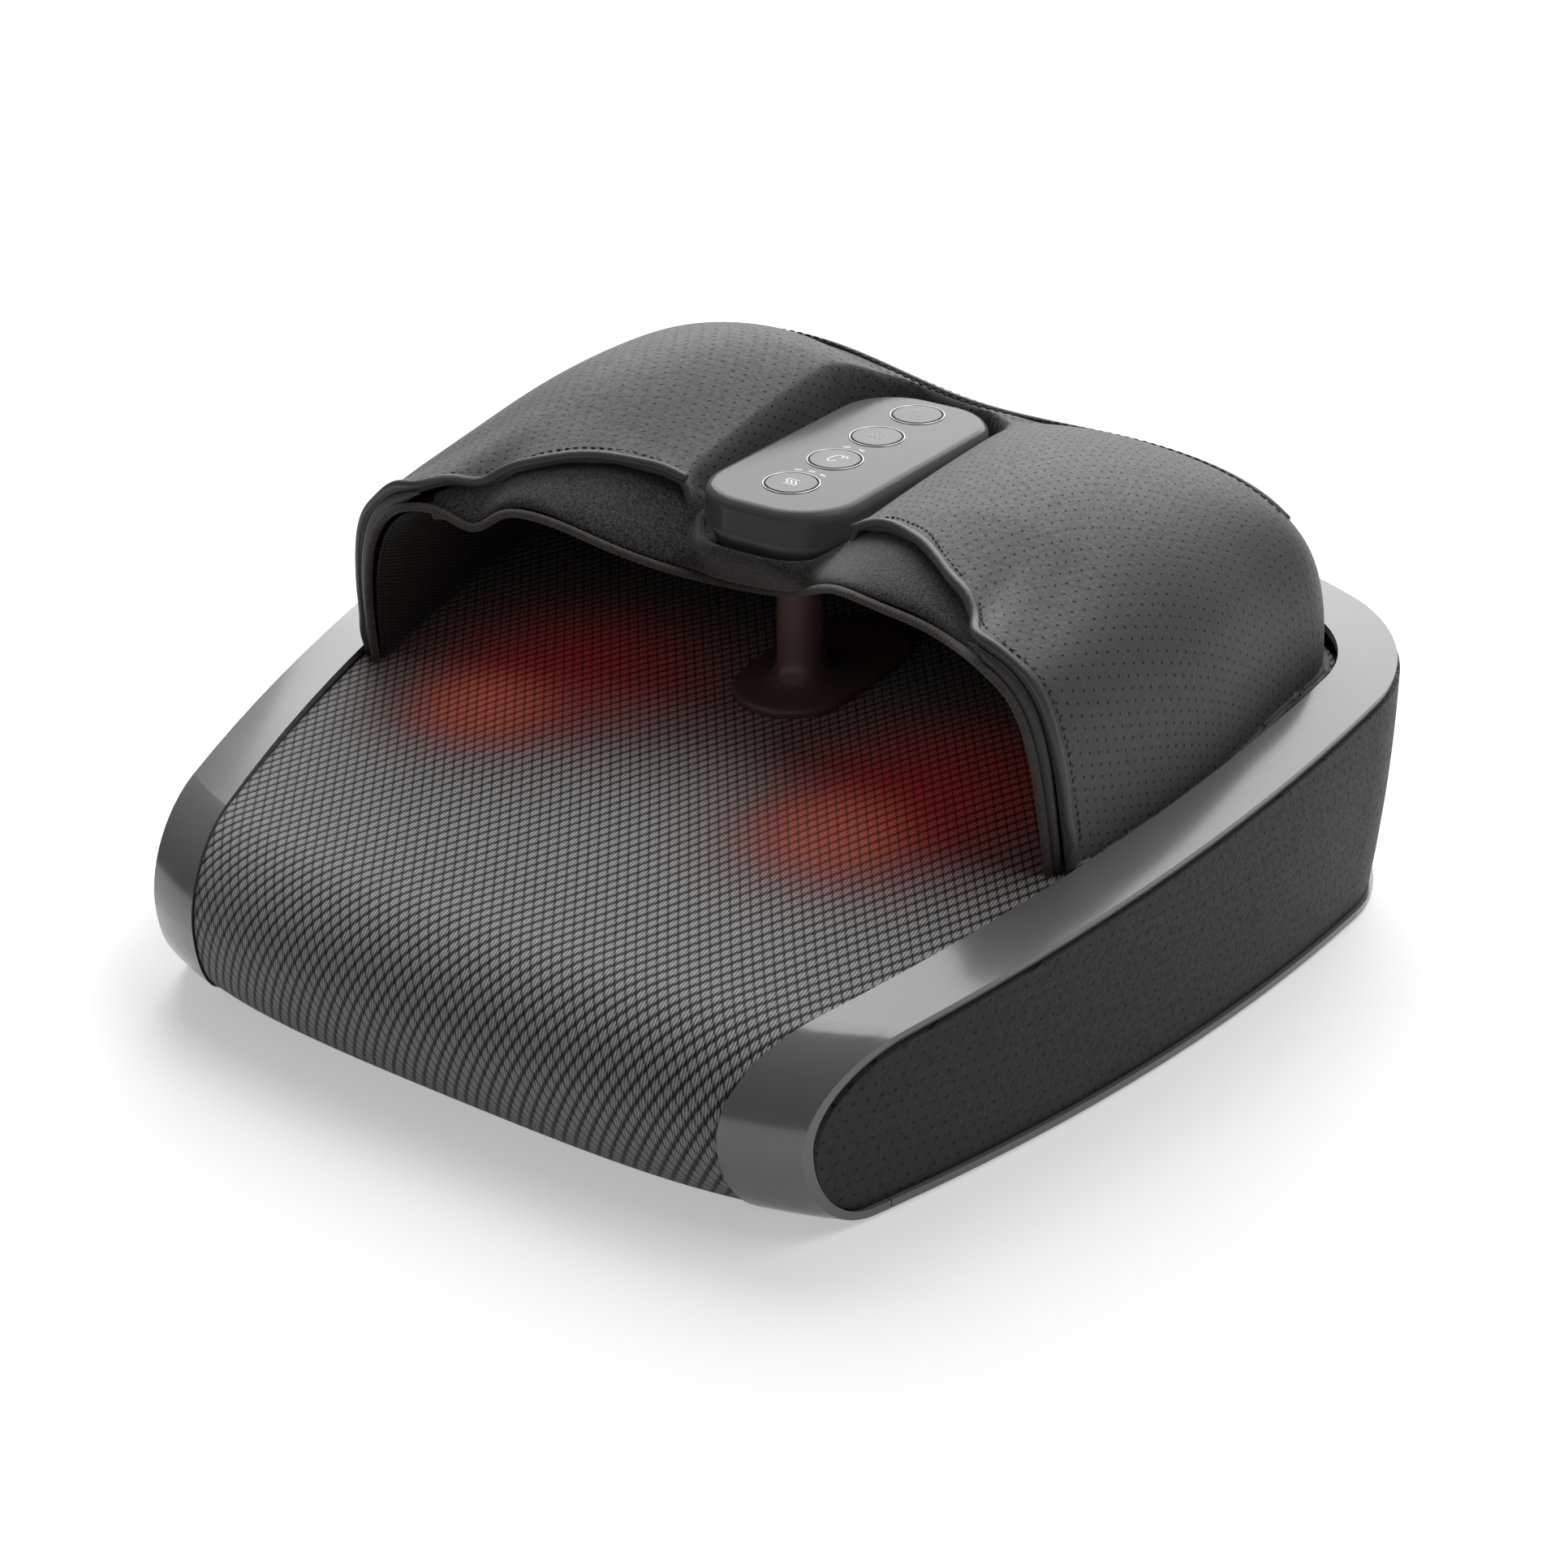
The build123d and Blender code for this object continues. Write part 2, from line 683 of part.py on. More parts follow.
button_places = [(0, button_front + button_pitch * step) for step in range(4)]
button_flange = 1.2
button_height = 2.4
stem_radius = 2.0
dash_size = (3.4, 1.7)
dash_ring = 13.9
dash_angles = [(0, (68, 91, 114)), (1, (77, 105))]
dash_places = [(dash_ring * cos(radians(angle)), button_places[row][1] + dash_ring * sin(radians(angle)), angle)
               for row, angles in dash_angles for angle in angles]
with BuildPart() as pod_top:
    with BuildSketch(Plane.XY.offset(pod_seam_height)):
        with Locations((0, pod_middle)):
            RectangleRounded(pod_width, pod_length, pod_corner)
    extrude(amount=pod_top_height - pod_seam_height)
    fillet(pod_top.edges().group_by(Axis.Z)[-1], pod_edge_round)
    with BuildSketch(Plane.XY.offset(pod_seam_height)):
        with Locations((0, pod_middle)):
            RectangleRounded(pod_width - 2 * pod_wall, pod_length - 2 * pod_wall, pod_corner - pod_wall)
    extrude(amount=pod_top_height - pod_seam_height - pod_wall, mode=Mode.SUBTRACT)
    with BuildSketch(Plane.XY.offset(pod_top_height)):
        with Locations(*button_places):
            Circle(button_radius + button_gap)
    extrude(amount=-2 * pod_wall, mode=Mode.SUBTRACT)
    with BuildSketch(Plane.XY.offset(pod_top_height)):
        for x, y, angle in dash_places:
            with Locations((x, y)):
                SlotOverall(*dash_size, rotation=angle - 90)
    extrude(amount=-2 * pod_wall, mode=Mode.SUBTRACT)
save(pod_top.part, "pod_top")

# Light windows: five small clear dashes behind the first two buttons
with BuildPart() as light_windows:
    with BuildSketch(Plane.XY.offset(pod_top_height - pod_wall)):
        for x, y, angle in dash_places:
            with Locations((x, y)):
                SlotOverall(dash_size[0] - 2 * running_gap, dash_size[1] - 2 * running_gap, rotation=angle - 90)
    extrude(amount=pod_wall)
save(light_windows.part, "light_windows")

# Buttons: a domed cap, a flange that keeps it in and a stem over the switch
button_names = ["air", "massage", "heat", "power"]
button_under = pod_top_height - pod_wall - soft_gap
stem_length = 2.6
for button_name, (x, y) in zip(button_names, button_places):
    with BuildPart() as button:
        with BuildSketch(Plane.XY.offset(button_under - button_flange)):
            with Locations((x, y)):
                Circle(button_radius + 4 * button_gap)
        extrude(amount=button_flange)
        with BuildSketch(Plane.XY.offset(button_under)):
            with Locations((x, y)):
                Circle(button_radius)
        extrude(amount=pod_top_height + button_proud - button_under)
        chamfer(button.edges().group_by(Axis.Z)[-1], button_proud)
        with BuildSketch(Plane.XY.offset(button_under - button_flange)):
            with Locations((x, y)):
                Circle(stem_radius)
        extrude(amount=-stem_length)
    save(button.part, "button_" + button_name)

# Key board under the buttons, with one switch for each
board_thickness = 1.6
board_inset = 5.0
switch_size = 6.0
plunger_radius = 1.7
plunger_height = 0.5
stem_foot = button_under - button_flange - stem_length
key_board_top = pod_seam_height + board_thickness + 2 * fit_gap
with BuildPart() as key_board:
    with BuildSketch(Plane.XY.offset(key_board_top - board_thickness)):
        with Locations((0, pod_middle)):
            RectangleRounded(pod_width - 2 * pod_wall - board_inset, pod_length - 2 * pod_wall - board_inset,
                             pod_corner - pod_wall - board_inset / 2)
    extrude(amount=board_thickness)

with BuildPart() as key_switches:
    with BuildSketch(Plane.XY.offset(key_board_top)):
        with Locations(*button_places):
            Rectangle(switch_size, switch_size)
    extrude(amount=stem_foot - button_travel - 2 * running_gap - plunger_height - key_board_top)
    with BuildSketch(Plane.XY.offset(stem_foot - button_travel - 2 * running_gap - plunger_height)):
        with Locations(*button_places):
            Circle(plunger_radius)
    extrude(amount=plunger_height)
save(key_switches.part, "key_switches")

# Four screws up through the pod's floor and the bosses that they turn into
pod_screw_places = [(side * pod_width / 4, pod_middle + end * pod_length / 4)
                    for side in (-1, 1) for end in (-1, 1)]
pod_boss_radius = 3.5
with pod_base:
    with BuildSketch(Plane.XY.offset(pod_floor_top)):
        with Locations(*pod_screw_places):
            Circle(pod_boss_radius)
    extrude(amount=key_board_top - board_thickness - pod_floor_top)
    with BuildSketch(Plane.XY.offset(pod_bottom_height)):
        with Locations(*pod_screw_places):
            Circle(screw_radius + running_gap)
    extrude(amount=pod_seam_height, mode=Mode.SUBTRACT)
save(pod_base.part, "pod_base")
with key_board:
    with BuildSketch(Plane.XY.offset(pod_seam_height)):
        with Locations(*pod_screw_places):
            Circle(screw_radius + running_gap)
    extrude(amount=pod_wall, mode=Mode.SUBTRACT)
save(key_board.part, "key_board")
with BuildPart() as pod_screws:
    with BuildSketch(Plane.XY.offset(pod_bottom_height - screw_head_height)):
        with Locations(*pod_screw_places):
            Circle(screw_head_radius)
    extrude(amount=screw_head_height)
    with BuildSketch(Plane.XY.offset(pod_bottom_height)):
        with Locations(*pod_screw_places):
            Circle(screw_radius)
    extrude(amount=key_board_top + board_thickness - pod_bottom_height)
save(pod_screws.part, "pod_screws")

# Gear plate: a steel sheet on the tray floor that carries every pin, the motor and the standoffs
plate_thickness = 2.5
plate_low = tray_floor + fit_gap
plate_top = plate_low + plate_thickness
plate_round = 18.0
plate_front = -98.0
plate_back = 134.0
plate_half_width = 146.0
pin_radius = 3.0
pin_top = 43.0
gear_width = 8.0
gear_low = plate_top + 3 * fit_gap
hub_radius = 9.0
hub_top = 46.0
cover_low = 38.2
cover_thickness = 2.0
worm_wheel_low = 21.0
worm_wheel_width = 10.0
worm_height = worm_wheel_low + worm_wheel_width / 2
standoff_radius = 4.0
inner_standoff = (15.0, -6.0)
outer_standoff = (130.0, 22.0)
front_standoff = (122.0, -74.0)
back_standoff = (88.0, 72.0)
back_plate_screw = (60.0, 120.0)
front_plate_screw = (100.0, -88.0)
standoff_places = [(side * x, y) for x, y in (inner_standoff, outer_standoff, front_standoff, back_standoff)
                   for side in (-1, 1)]
plate_screw_places = [(side * x, y) for x, y in (back_plate_screw, front_plate_screw) for side in (-1, 1)]

head_radius_pitch = gear_module * head_teeth / 2
pinion_radius_pitch = gear_module * pinion_teeth / 2
wheel_radius_pitch = worm_wheel_module * worm_wheel_teeth / 2
wheel_x = worm_pitch_radius + wheel_radius_pitch
wheel_y = head_first[1] + sqrt((head_radius_pitch + pinion_radius_pitch)**2 - (head_first[0] - wheel_x)**2)
wheel_places = [(wheel_x, wheel_y), (-wheel_x, wheel_y)]
pin_places = heads_right + heads_left + wheel_places

with BuildPart() as gear_plate:
    with BuildSketch(Plane.XY.offset(plate_low)):
        with Locations((0, (plate_front + plate_back) / 2)):
            RectangleRounded(2 * plate_half_width, plate_back - plate_front, plate_round)
        with Locations(*pin_places):
            Circle(pin_radius + running_gap, mode=Mode.SUBTRACT)
        with Locations(*plate_screw_places):
            Circle(screw_radius + running_gap, mode=Mode.SUBTRACT)
    extrude(amount=plate_thickness)
save(gear_plate.part, "gear_plate")

with BuildPart() as plate_screws:
    with BuildSketch(Plane.XY.offset(tray_floor)):
        with Locations(*plate_screw_places):
            Circle(screw_radius)
    extrude(amount=plate_top - tray_floor)
    with BuildSketch(Plane.XY.offset(plate_top)):
        with Locations(*plate_screw_places):
            Circle(screw_head_radius)
    extrude(amount=screw_head_height)
save(plate_screws.part, "plate_screws")

# Steel pins pressed into the plate, one for each turning gear
with BuildPart() as gear_pins:
    with BuildSketch(Plane.XY.offset(tray_floor)):
        with Locations(*pin_places):
            Circle(pin_radius)
    extrude(amount=pin_top - tray_floor)
save(gear_pins.part, "gear_pins")

with BuildPart() as standoffs:
    with BuildSketch(Plane.XY.offset(plate_top)):
        with Locations(*standoff_places):
            Circle(standoff_radius)
    extrude(amount=cover_low - plate_top)
save(standoffs.part, "standoffs")

# Gear cover: a flat sheet on the standoffs, with a round opening for every hub and a notch for the motor
cover_round = 16.0
cover_margin = 9.0
cover_reach = outer_standoff[0] + cover_margin + standoff_radius
cover_front = plate_front + cover_margin
cover_back = back_standoff[1] + cover_margin
motor_front = 74.0
motor_radius = 15.5
bracket_thickness = 3.0
bracket_reach = worm_height - plate_top
notch_front = motor_front - bracket_thickness - fit_gap
with BuildPart() as gear_cover:
    with BuildSketch(Plane.XY.offset(cover_low)):
        with Locations((0, (cover_front + cover_back) / 2)):
            RectangleRounded(2 * cover_reach, cover_back - cover_front, cover_round)
        with Locations(*pin_places):
            Circle(hub_radius + fit_gap, mode=Mode.SUBTRACT)
        with Locations((0, (notch_front + cover_back + cut_overrun) / 2)):
            Rectangle(2 * (bracket_reach + fit_gap), cover_back + cut_overrun - notch_front, mode=Mode.SUBTRACT)
    extrude(amount=cover_thickness)
save(gear_cover.part, "gear_cover")

# Tooth form: half widths at root, pitch circle and tip as shares of one tooth's angle
tooth_half_shares = (0.265, 0.232, 0.092)
tooth_height_shares = (-1.25, 0.0, 0.9)


def tooth_outline(teeth, module, turn, place):
    """Closed outline of a spur gear round place, its first tooth centred at the angle turn, in radians."""
    pitch_angle = 2 * pi / teeth
    points = []
    for tooth in range(teeth):
        centre = turn + tooth * pitch_angle
        flank = [(module * (teeth / 2 + height), half * pitch_angle)
                 for height, half in zip(tooth_height_shares, tooth_half_shares)]
        for radius, half in flank:
            points.append((place[0] + radius * cos(centre - half), place[1] + radius * sin(centre - half)))
        for radius, half in reversed(flank):
            points.append((place[0] + radius * cos(centre + half), place[1] + radius * sin(centre + half)))
    return points


def meshed_turn(driver, driver_teeth, driver_turn, driven, driven_teeth):
    """Turn of a driven gear's first tooth that puts its gap on the driver's tooth."""
    direction = atan2(driven[1] - driver[1], driven[0] - driver[0])
    return (direction + pi - (driver_turn - direction) * driver_teeth / driven_teeth - pi / driven_teeth)


# Worm wheels: helical rim in the worm's plane, driving pinion moulded under it
worm_lead = pi * worm_wheel_module
worm_lead_angle = atan2(worm_lead, 2 * pi * worm_pitch_radius)
wheel_twist = tan(worm_lead_angle) * worm_wheel_width / wheel_radius_pitch
pinion_low = gear_low
pinion_turns = {}
for side_name, place, turn in (("right", wheel_places[0], pi + pi / worm_wheel_teeth),
                               ("left", wheel_places[1], 0.0)):
    pinion_turns[side_name] = turn
    with BuildPart() as worm_wheel:
        for level, lean in ((0, -0.5), (1, 0.5)):
            with BuildSketch(Plane.XY.offset(worm_wheel_low + level * worm_wheel_width)):
                with BuildLine():
                    Polyline(*tooth_outline(worm_wheel_teeth, worm_wheel_module, turn + lean * wheel_twist, place),
                             close=True)
                make_face()
        loft(ruled=True)
        with BuildSketch(Plane.XY.offset(pinion_low)):
            with BuildLine():
                Polyline(*tooth_outline(pinion_teeth, gear_module, turn, place), close=True)
            make_face()
        extrude(amount=worm_wheel_low - pinion_low)
        with BuildSketch(Plane.XY.offset(worm_wheel_low)):
            with Locations(place):
                Circle(hub_radius)
        extrude(amount=cover_low + cover_thickness - worm_wheel_low)
        with BuildSketch(Plane.XY.offset(pinion_low)):
            with Locations(place):
                Circle(pin_radius + running_gap)
        extrude(amount=form_top, mode=Mode.SUBTRACT)
    save(worm_wheel.part, "worm_wheel_" + side_name)

# Head gears, each with a long hub that carries a massage head above the cover
collar_height = 2 * fit_gap
spigot_radius = 5.0
spigot_height = 4.0
head_plate_radius = 17.0
head_plate_thickness = 5.0
head_names = ["back", "outer", "front"]
for side_name, heads, wheel_place in (("right", heads_right, wheel_places[0]),
                                      ("left", heads_left, wheel_places[1])):
    driver, driver_teeth, driver_turn = wheel_place, pinion_teeth, pinion_turns[side_name]
    for head_name, place in zip(head_names, heads):
        turn = meshed_turn(driver, driver_teeth, driver_turn, place, head_teeth)
        with BuildPart() as head_gear:
            with BuildSketch(Plane.XY.offset(gear_low)):
                with BuildLine():
                    Polyline(*tooth_outline(head_teeth, gear_module, turn, place), close=True)
                make_face()
            extrude(amount=gear_width)
            with BuildSketch(Plane.XY.offset(gear_low - collar_height)):
                with Locations(place):
                    Circle(hub_radius)
            extrude(amount=hub_top - gear_low + collar_height)
            with BuildSketch(Plane.XY.offset(hub_top)):
                with Locations(place):
                    Circle(spigot_radius)
            extrude(amount=spigot_height)
            with BuildSketch(Plane.XY.offset(gear_low - collar_height)):
                with Locations(place):
                    Circle(pin_radius + running_gap)
            extrude(amount=pin_top + fit_gap - gear_low + collar_height, mode=Mode.SUBTRACT)
        save(head_gear.part, "head_gear_" + side_name + "_" + head_name)

        # Massage head: a three-lobed plate with a domed kneading node on each lobe
        with BuildPart() as massage_head:
            with BuildSketch(Plane.XY.offset(hub_top)):
                with Locations(place):
                    Circle(head_plate_radius)
                    with PolarLocations(node_ring, 3, start_angle=degrees(turn)):
                        Circle(node_radius)
            extrude(amount=head_plate_thickness)
            with BuildSketch(Plane.XY.offset(hub_top)):
                with Locations(place):
                    with PolarLocations(node_ring, 3, start_angle=degrees(turn)):
                        Circle(node_radius)
            extrude(amount=head_top - node_radius - hub_top)
            with Locations((place[0], place[1], head_top - node_radius)):
                with PolarLocations(node_ring, 3, start_angle=degrees(turn)):
                    Sphere(node_radius)
            with BuildSketch(Plane.XY.offset(hub_top)):
                with Locations(place):
                    Circle(spigot_radius + running_gap)
            extrude(amount=head_plate_thickness, mode=Mode.SUBTRACT)
        save(massage_head.part, "massage_head_" + side_name + "_" + head_name)
        driver, driver_teeth, driver_turn = place, head_teeth, turn

# Worm on the motor's shaft, a single right-hand thread between the two worm wheels
worm_turns = 4
worm_root_radius = worm_pitch_radius - 1.25 * worm_wheel_module
worm_tip_radius = worm_pitch_radius + 0.85 * worm_wheel_module
thread_half_shares = (0.31, 0.20, 0.09)
thread_sink = 0.4
shaft_radius = 4.0
shaft_front = 12.0
bearing_front = 14.0
bearing_length = 7.0
bearing_width = 22.0
worm_core_front = 24.0
worm_core_back = 62.0
motor_length = 54.0
motor_cap_radius = 11.0
motor_cap_length = 5.0
motor_bore_depth = 8.0
worm_plane = Plane(origin=(0, wheel_y, worm_height), x_dir=(1, 0, 0), z_dir=(0, 1, 0))
with BuildPart() as upright_worm:
    with BuildLine() as thread_line:
        Helix(worm_lead, worm_lead * worm_turns, worm_root_radius, center=(0, 0, -worm_lead * worm_turns / 2))
    with BuildSketch(Plane(origin=thread_line.line @ 0, x_dir=(1, 0, 0), z_dir=thread_line.line % 0)):
        with BuildLine():
            Polyline((-thread_sink, -thread_half_shares[0] * worm_lead),
                     (worm_tip_radius - worm_root_radius, -thread_half_shares[2] * worm_lead),
                     (worm_tip_radius - worm_root_radius, thread_half_shares[2] * worm_lead),
                     (-thread_sink, thread_half_shares[0] * worm_lead), close=True)
        make_face()
    sweep(path=thread_line.line, is_frenet=True)
    with BuildSketch(Plane.XY.offset(worm_core_front - wheel_y)):
        Circle(worm_root_radius)
    extrude(amount=worm_core_back - worm_core_front)
    with BuildSketch(Plane.XY.offset(shaft_front - wheel_y)):
        Circle(shaft_radius)
    extrude(amount=motor_front + motor_bore_depth - running_gap - shaft_front)
drive_worm = worm_plane.location * upright_worm.part
save(drive_worm, "drive_worm")

# Bearing block at the worm's front end
with BuildPart() as worm_bearing:
    with BuildSketch(Plane.XZ.offset(-bearing_front)):
        with Locations((0, (plate_top + worm_height) / 2)):
            Rectangle(bearing_width, worm_height - plate_top)
        with Locations((0, worm_height)):
            Circle(bearing_width / 2)
            Circle(shaft_radius + running_gap, mode=Mode.SUBTRACT)
    extrude(amount=-bearing_length)
save(worm_bearing.part, "worm_bearing")

# Motor and the bracket that its face is screwed to
with BuildPart() as motor_bracket:
    with BuildSketch(Plane.XZ.offset(-(motor_front - bracket_thickness))):
        with Locations((0, (plate_top + worm_height) / 2)):
            Rectangle(2 * bracket_reach, worm_height - plate_top)
        with Locations((0, worm_height)):
            Circle(bracket_reach)
            Circle(worm_root_radius, mode=Mode.SUBTRACT)
    extrude(amount=-bracket_thickness)
    with BuildSketch(Plane.XY.offset(plate_top)):
        with Locations((0, motor_front - bracket_thickness - motor_radius / 2)):
            Rectangle(2 * bracket_reach, motor_radius)
    extrude(amount=bracket_thickness / 2)
save(motor_bracket.part, "motor_bracket")

with BuildPart() as drive_motor:
    with BuildSketch(Plane.XZ.offset(-motor_front)):
        with Locations((0, worm_height)):
            Circle(motor_radius)
    extrude(amount=-motor_length)
    chamfer(drive_motor.edges().group_by(Axis.Y)[-1], bracket_thickness / 2)
    with BuildSketch(Plane.XZ.offset(-(motor_front + motor_length))):
        with Locations((0, worm_height)):
            Circle(motor_cap_radius)
    extrude(amount=-motor_cap_length)
    with BuildSketch(Plane.XZ.offset(-motor_front)):
        with Locations((0, worm_height)):
            Circle(shaft_radius + running_gap)
    extrude(amount=-motor_bore_depth, mode=Mode.SUBTRACT)
save(drive_motor.part, "drive_motor")

# Red heat lamps: one on the gear cover in the space between each foot's three heads
lamp_x = head_first[0] + (head_offset[0]**2 - head_offset[1]**2) / (2 * head_offset[0])
lamp_radius = 5.5
lamp_top = 66.0
for side_name, side in (("left", -1), ("right", 1)):
    with BuildPart() as heat_lamp:
        with BuildSketch(Plane.XY.offset(cover_low + cover_thickness)):
            with Locations((side * lamp_x, heads_right[1][1])):
                Circle(lamp_radius)
        extrude(amount=lamp_top - cover_low - cover_thickness)
        fillet(heat_lamp.edges().group_by(Axis.Z)[-1], lamp_radius / 2)
    save(heat_lamp.part, "heat_lamp_" + side_name)

# Control board in front of the gears, on four posts of the tray
board_width = 120.0
board_length = 46.0
board_middle = -134.0
board_low = 14.0
board_post_radius = 4.0
board_post_reach = board_width / 2 - board_post_radius
board_post_run = board_length / 2 - board_post_radius
board_post_places = [(side * board_post_reach, board_middle + end * board_post_run)
                     for side in (-1, 1) for end in (-1, 1)]
connector_size = (16.0, 7.0)
connector_height = 9.0
capacitor_radius = 6.5
capacitor_height = 18.0
with base_tray:
    with BuildSketch(Plane.XY.offset(tray_bottom)):
        with Locations(*board_post_places):
            Circle(board_post_radius)
    extrude(amount=board_low - tray_bottom)
save(base_tray.part, "base_tray")
with BuildPart() as control_board:
    with BuildSketch(Plane.XY.offset(board_low)):
        with Locations((0, board_middle)):
            Rectangle(board_width, board_length)
    extrude(amount=board_thickness)
    with BuildSketch(Plane.XY.offset(board_low + board_thickness)):
        with Locations((0, board_middle)):
            with GridLocations(1.5 * connector_size[0], connector_size[1], 4, 1):
                Rectangle(*connector_size)
    extrude(amount=connector_height)
    with BuildSketch(Plane.XY.offset(board_low + board_thickness)):
        with Locations((board_width / 2 - 2 * capacitor_radius, board_middle - capacitor_radius)):
            Circle(capacitor_radius)
    extrude(amount=capacitor_height)
save(control_board.part, "control_board")

# Air pump behind the gears: a small motor with a square valve head
pump_radius = 13.5
pump_length = 34.0
pump_head_size = 29.0
pump_head_length = 22.0
pump_left = -92.0
pump_middle = 156.0
pump_height = tray_floor + fit_gap + pump_head_size / 2
nozzle_radius = 2.5
nozzle_length = 6.0
with BuildPart() as air_pump:
    with BuildSketch(Plane.YZ.offset(pump_left)):
        with Locations((pump_middle, pump_height)):
            Circle(pump_radius)
    extrude(amount=pump_length)
    with BuildSketch(Plane.YZ.offset(pump_left + pump_length)):
        with Locations((pump_middle, pump_height)):
            RectangleRounded(pump_head_size, pump_head_size, nozzle_radius)
    extrude(amount=pump_head_length)
    with BuildSketch(Plane.YZ.offset(pump_left + pump_length + pump_head_length)):
        with Locations((pump_middle, pump_height)):
            Circle(nozzle_radius)
    extrude(amount=nozzle_length)
save(air_pump.part, "air_pump")

# Bound edge that runs round the whole front opening of the hood, from hem to hem
binding_route = [(0.0, 9.6, 119.6), (32.0, -15.0, 132.1), (62.0, -35.4, 144.8), (92.0, -39.4, 145.6),
                 (114.0, -50.4, 141.4), (121.8, -63.4, 142.6), (132.0, -65.2, 142.6), (142.0, -64.6, 138.6),
                 (149.5, -64.6, 128.0), (154.5, -64.6, 110.0), (155.8, -64.6, 86.0)]
with BuildPart() as front_binding:
    with BuildLine() as binding_line:
        Spline(*[(-x, y, z) for x, y, z in reversed(binding_route[1:])], *binding_route)
    with BuildSketch(Plane(origin=binding_line.line @ 0, z_dir=binding_line.line % 0)):
        Circle(binding_radius)
    sweep(path=binding_line.line)
save(front_binding.part, "front_binding")
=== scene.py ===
from math import cos, pi, radians, sin, sqrt

import bmesh
import bpy
import numpy as np
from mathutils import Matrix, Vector


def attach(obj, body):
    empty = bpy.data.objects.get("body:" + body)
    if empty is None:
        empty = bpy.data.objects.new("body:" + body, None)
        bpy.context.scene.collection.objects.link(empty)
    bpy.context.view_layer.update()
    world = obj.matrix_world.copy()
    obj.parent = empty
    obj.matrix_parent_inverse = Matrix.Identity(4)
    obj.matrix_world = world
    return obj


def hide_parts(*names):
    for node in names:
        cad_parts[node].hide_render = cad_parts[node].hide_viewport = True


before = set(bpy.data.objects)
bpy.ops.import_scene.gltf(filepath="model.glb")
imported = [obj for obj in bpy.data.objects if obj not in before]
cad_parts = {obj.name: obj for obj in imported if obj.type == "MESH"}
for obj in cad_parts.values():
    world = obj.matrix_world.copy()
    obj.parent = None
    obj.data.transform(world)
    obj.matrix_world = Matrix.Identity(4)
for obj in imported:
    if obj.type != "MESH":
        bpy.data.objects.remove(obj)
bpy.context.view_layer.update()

mm = 0.001
# Depths of surface grain, and the spread of tone of parts with a very even colour
polished_grain = 0.0004 * mm
smooth_grain = 0.003 * mm
glass_grain = 0.01 * mm
ground_grain = 0.02 * mm
drawn_grain = 0.03 * mm
satin_grain = 0.04 * mm
cut_grain = 0.05 * mm
plain_grain = 0.06 * mm
thread_grain = 0.10 * mm
spark_grain = 0.12 * mm
rubber_grain = 0.20 * mm
even_spread = 0.05


# Trim rail and lower trim: one glossy band moulded in gunmetal-grey plastic, wrapped down and
# under at each front end. It is clipped over the side panel and holds the footbed mesh's edge.
class Value:
    """A socket in a material, used like a number: an expression on it adds Math nodes."""

    def __init__(self, finish, socket):
        self.finish = finish
        self.socket = socket

    def __add__(self, other):
        return self.finish.sum("ADD", self, other)

    def __radd__(self, other):
        return self.finish.sum("ADD", other, self)

    def __sub__(self, other):
        return self.finish.sum("SUBTRACT", self, other)

    def __rsub__(self, other):
        return self.finish.sum("SUBTRACT", other, self)

    def __mul__(self, other):
        return self.finish.sum("MULTIPLY", self, other)

    def __truediv__(self, other):
        return self.finish.sum("DIVIDE", self, other)


